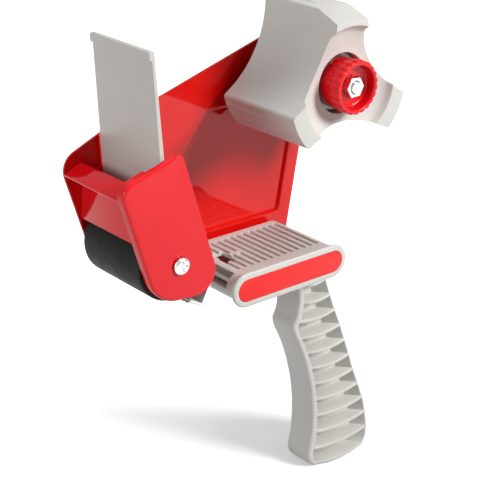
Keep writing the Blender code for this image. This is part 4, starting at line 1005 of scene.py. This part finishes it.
def handle():
    """The pistol grip: front and rear walls, level ribs, middle web and foot."""
    start = 1.1
    low = ((0.0, 1.1), (0.15, 0.6), (0.5, 0.2), (start, 0.0))
    heights = [start + (GRIP_TOP + 2.0 - start) * k / 90 for k in range(1, 91)]
    parts = []
    for ring, name in ((front_wall_ring, "front_wall"), (rear_wall_ring, "rear_wall")):
        parts.append(stack(name, [ring(z, inset) for z, inset in low] + [ring(z) for z in heights]))
    top, bottom, rib = GRIP_TOP - 2.9, 2.4, 1.9
    foot = ((0.0, 0.9), (0.2, 0.45), (0.5, 0.15), (1.0, 0.04), (1.9, 0.04), (2.2, 0.2), (bottom, 0.6))
    parts.append(stack("foot", [level_ring(z, inset) for z, inset in foot]))
    pitch = (top - bottom + rib) / 12
    rounding = ((0, 0.7), (0.15, 0.4), (0.5, 0.2), (rib - 0.5, 0.2), (rib - 0.15, 0.4), (rib, 0.7))
    for k in range(1, 12):
        z = bottom + k * pitch - rib
        parts.append(stack(f"rib_{k}", [level_ring(z + up, inset) for up, inset in rounding]))
    cap = ((top, 0.6), (top + 0.4, 0.1), (GRIP_TOP + 1.5, 0.04))
    parts.append(stack("cap", [level_ring(z, inset) for z, inset in cap]))
    heights = [2.0 + (GRIP_TOP - 2.0) * k / 60 for k in range(61)]
    web = [(smooth_edge(GRIP_FRONT, z) + 1.5, z) for z in heights]
    web += [(smooth_edge(GRIP_REAR, z) - 1.2, z) for z in reversed(heights)]
    parts.append(plate("web", [web], -2.1, 2.1, 0.1, 1))
    return parts


def grip():
    """Platform and handle as one moulding."""
    thing = join("grip_moulded", platform() + handle())
    place(thing, "frame", "grey_plastic", GREY, "grip_body", smooth=32)


# Stage

def directly_seen(tree):
    """1 where the camera sees a surface itself or in a reflection, and 0 where it only lights others."""
    path = tree.nodes.new("ShaderNodeLightPath")
    value = path.outputs["Is Camera Ray"]
    for name in ("Is Glossy Ray", "Is Transmission Ray"):
        either = tree.nodes.new("ShaderNodeMath")
        either.operation = "MAXIMUM"
        tree.links.new(value, either.inputs[0])
        tree.links.new(path.outputs[name], either.inputs[1])
        value = either.outputs[0]
    return value


def ranged(tree, value, low, high, start=0.0, end=1.0):
    """A value between two places of its range, moved to another range."""
    node = tree.nodes.new("ShaderNodeMapRange")
    for name, number in (("From Min", start), ("From Max", end), ("To Min", low), ("To Max", high)):
        node.inputs[name].default_value = number
    tree.links.new(value, node.inputs["Value"])
    return node.outputs["Result"]


def floor_look():
    """A pale floor that keeps the shadow and glows more with distance from the foot, where it is seen."""
    made = bpy.data.materials.new("floor")
    made.use_nodes = True
    tree = made.node_tree
    tree.nodes.clear()
    output = tree.nodes.new("ShaderNodeOutputMaterial")
    diffuse = tree.nodes.new("ShaderNodeBsdfDiffuse")
    glow = tree.nodes.new("ShaderNodeEmission")
    place_at = tree.nodes.new("ShaderNodeTexCoord")
    away = tree.nodes.new("ShaderNodeVectorMath")
    away.operation = "LENGTH"
    share = tree.nodes.new("ShaderNodeMath")
    share.operation = "MULTIPLY"
    add = tree.nodes.new("ShaderNodeAddShader")
    seen = directly_seen(tree)
    tree.links.new(place_at.outputs["Object"], away.inputs[0])
    tree.links.new(ranged(tree, seen, 0.36, 0.86), diffuse.inputs["Color"])
    tree.links.new(seen, share.inputs[0])
    tree.links.new(ranged(tree, away.outputs["Value"], 0.30, 0.85, 0.06, 0.24), share.inputs[1])
    tree.links.new(share.outputs[0], glow.inputs["Strength"])
    tree.links.new(diffuse.outputs[0], add.inputs[0])
    tree.links.new(glow.outputs[0], add.inputs[1])
    tree.links.new(add.outputs[0], output.inputs["Surface"])
    return made


def lay_floor():
    """The floor, 12 m square."""
    half = 6.0
    corners = [(-half, -half, 0), (half, -half, 0), (half, half, 0), (-half, half, 0)]
    mesh = bpy.data.meshes.new("floor")
    mesh.from_pydata(corners, [], [(0, 1, 2, 3)])
    floor = new_object("floor", mesh)
    mesh.materials.append(floor_look())


def surroundings():
    """White where it is seen, and dim where it only lights the object."""
    world = bpy.data.worlds.new("white_room")
    bpy.context.scene.world = world
    world.use_nodes = True
    tree = world.node_tree
    tree.nodes.clear()
    output = tree.nodes.new("ShaderNodeOutputWorld")
    background = tree.nodes.new("ShaderNodeBackground")
    tree.links.new(ranged(tree, directly_seen(tree), 0.26, 1.0), background.inputs["Strength"])
    tree.links.new(background.outputs[0], output.inputs["Surface"])


def lamps():
    """Three soft lamps: name, direction, distance and size in metres, watts."""
    aim = Vector((-0.06, 0.0, 0.14))
    rows = (("key", (0.40, -0.76, 0.52), 1.3, 0.40, 16.5), ("side", (-1.0, -0.06, 0.32), 1.4, 0.7, 6.5),
            ("top", (-0.1, 0.1, 1.0), 1.2, 0.7, 2.5))
    for name, direction, distance, size, power in rows:
        lamp = bpy.data.lights.new(name, "AREA")
        lamp.shape = "DISK"
        lamp.size = size
        lamp.energy = power
        thing = bpy.data.objects.new(name, lamp)
        way = Vector(direction).normalized()
        thing.location = aim + way * distance
        thing.rotation_euler = way.to_track_quat("Z", "Y").to_euler()
        bpy.context.scene.collection.objects.link(thing)


def camera():
    """The photograph's camera."""
    azimuth, elevation, roll = math.radians(-39.516), math.radians(22.9461), math.radians(0.145)
    level = math.cos(elevation)
    back = Vector((math.sin(azimuth) * level, -math.cos(azimuth) * level, math.sin(elevation)))
    right = Vector((math.cos(azimuth), math.sin(azimuth), 0))
    up = back.cross(right)
    right, up = math.cos(roll) * right + math.sin(roll) * up, math.cos(roll) * up - math.sin(roll) * right
    lens = bpy.data.cameras.new("camera")
    lens.sensor_width = 36
    lens.lens = 98.69
    lens.clip_start = 0.01
    thing = bpy.data.objects.new("camera", lens)
    turn = Matrix((right, up, back)).transposed().to_4x4()
    thing.matrix_world = Matrix.Translation((-0.4690, -0.4963, 0.4119)) @ turn
    bpy.context.scene.collection.objects.link(thing)
    bpy.context.scene.camera = thing
    bpy.context.scene.view_settings.view_transform = "Standard"


lay_floor()
surroundings()
lamps()
camera()
side_plate()
near_cheek()
crossbar()
roller()
screws()
flap()
springs()
blade()
hub()
knob()
hub_hardware()
grip()
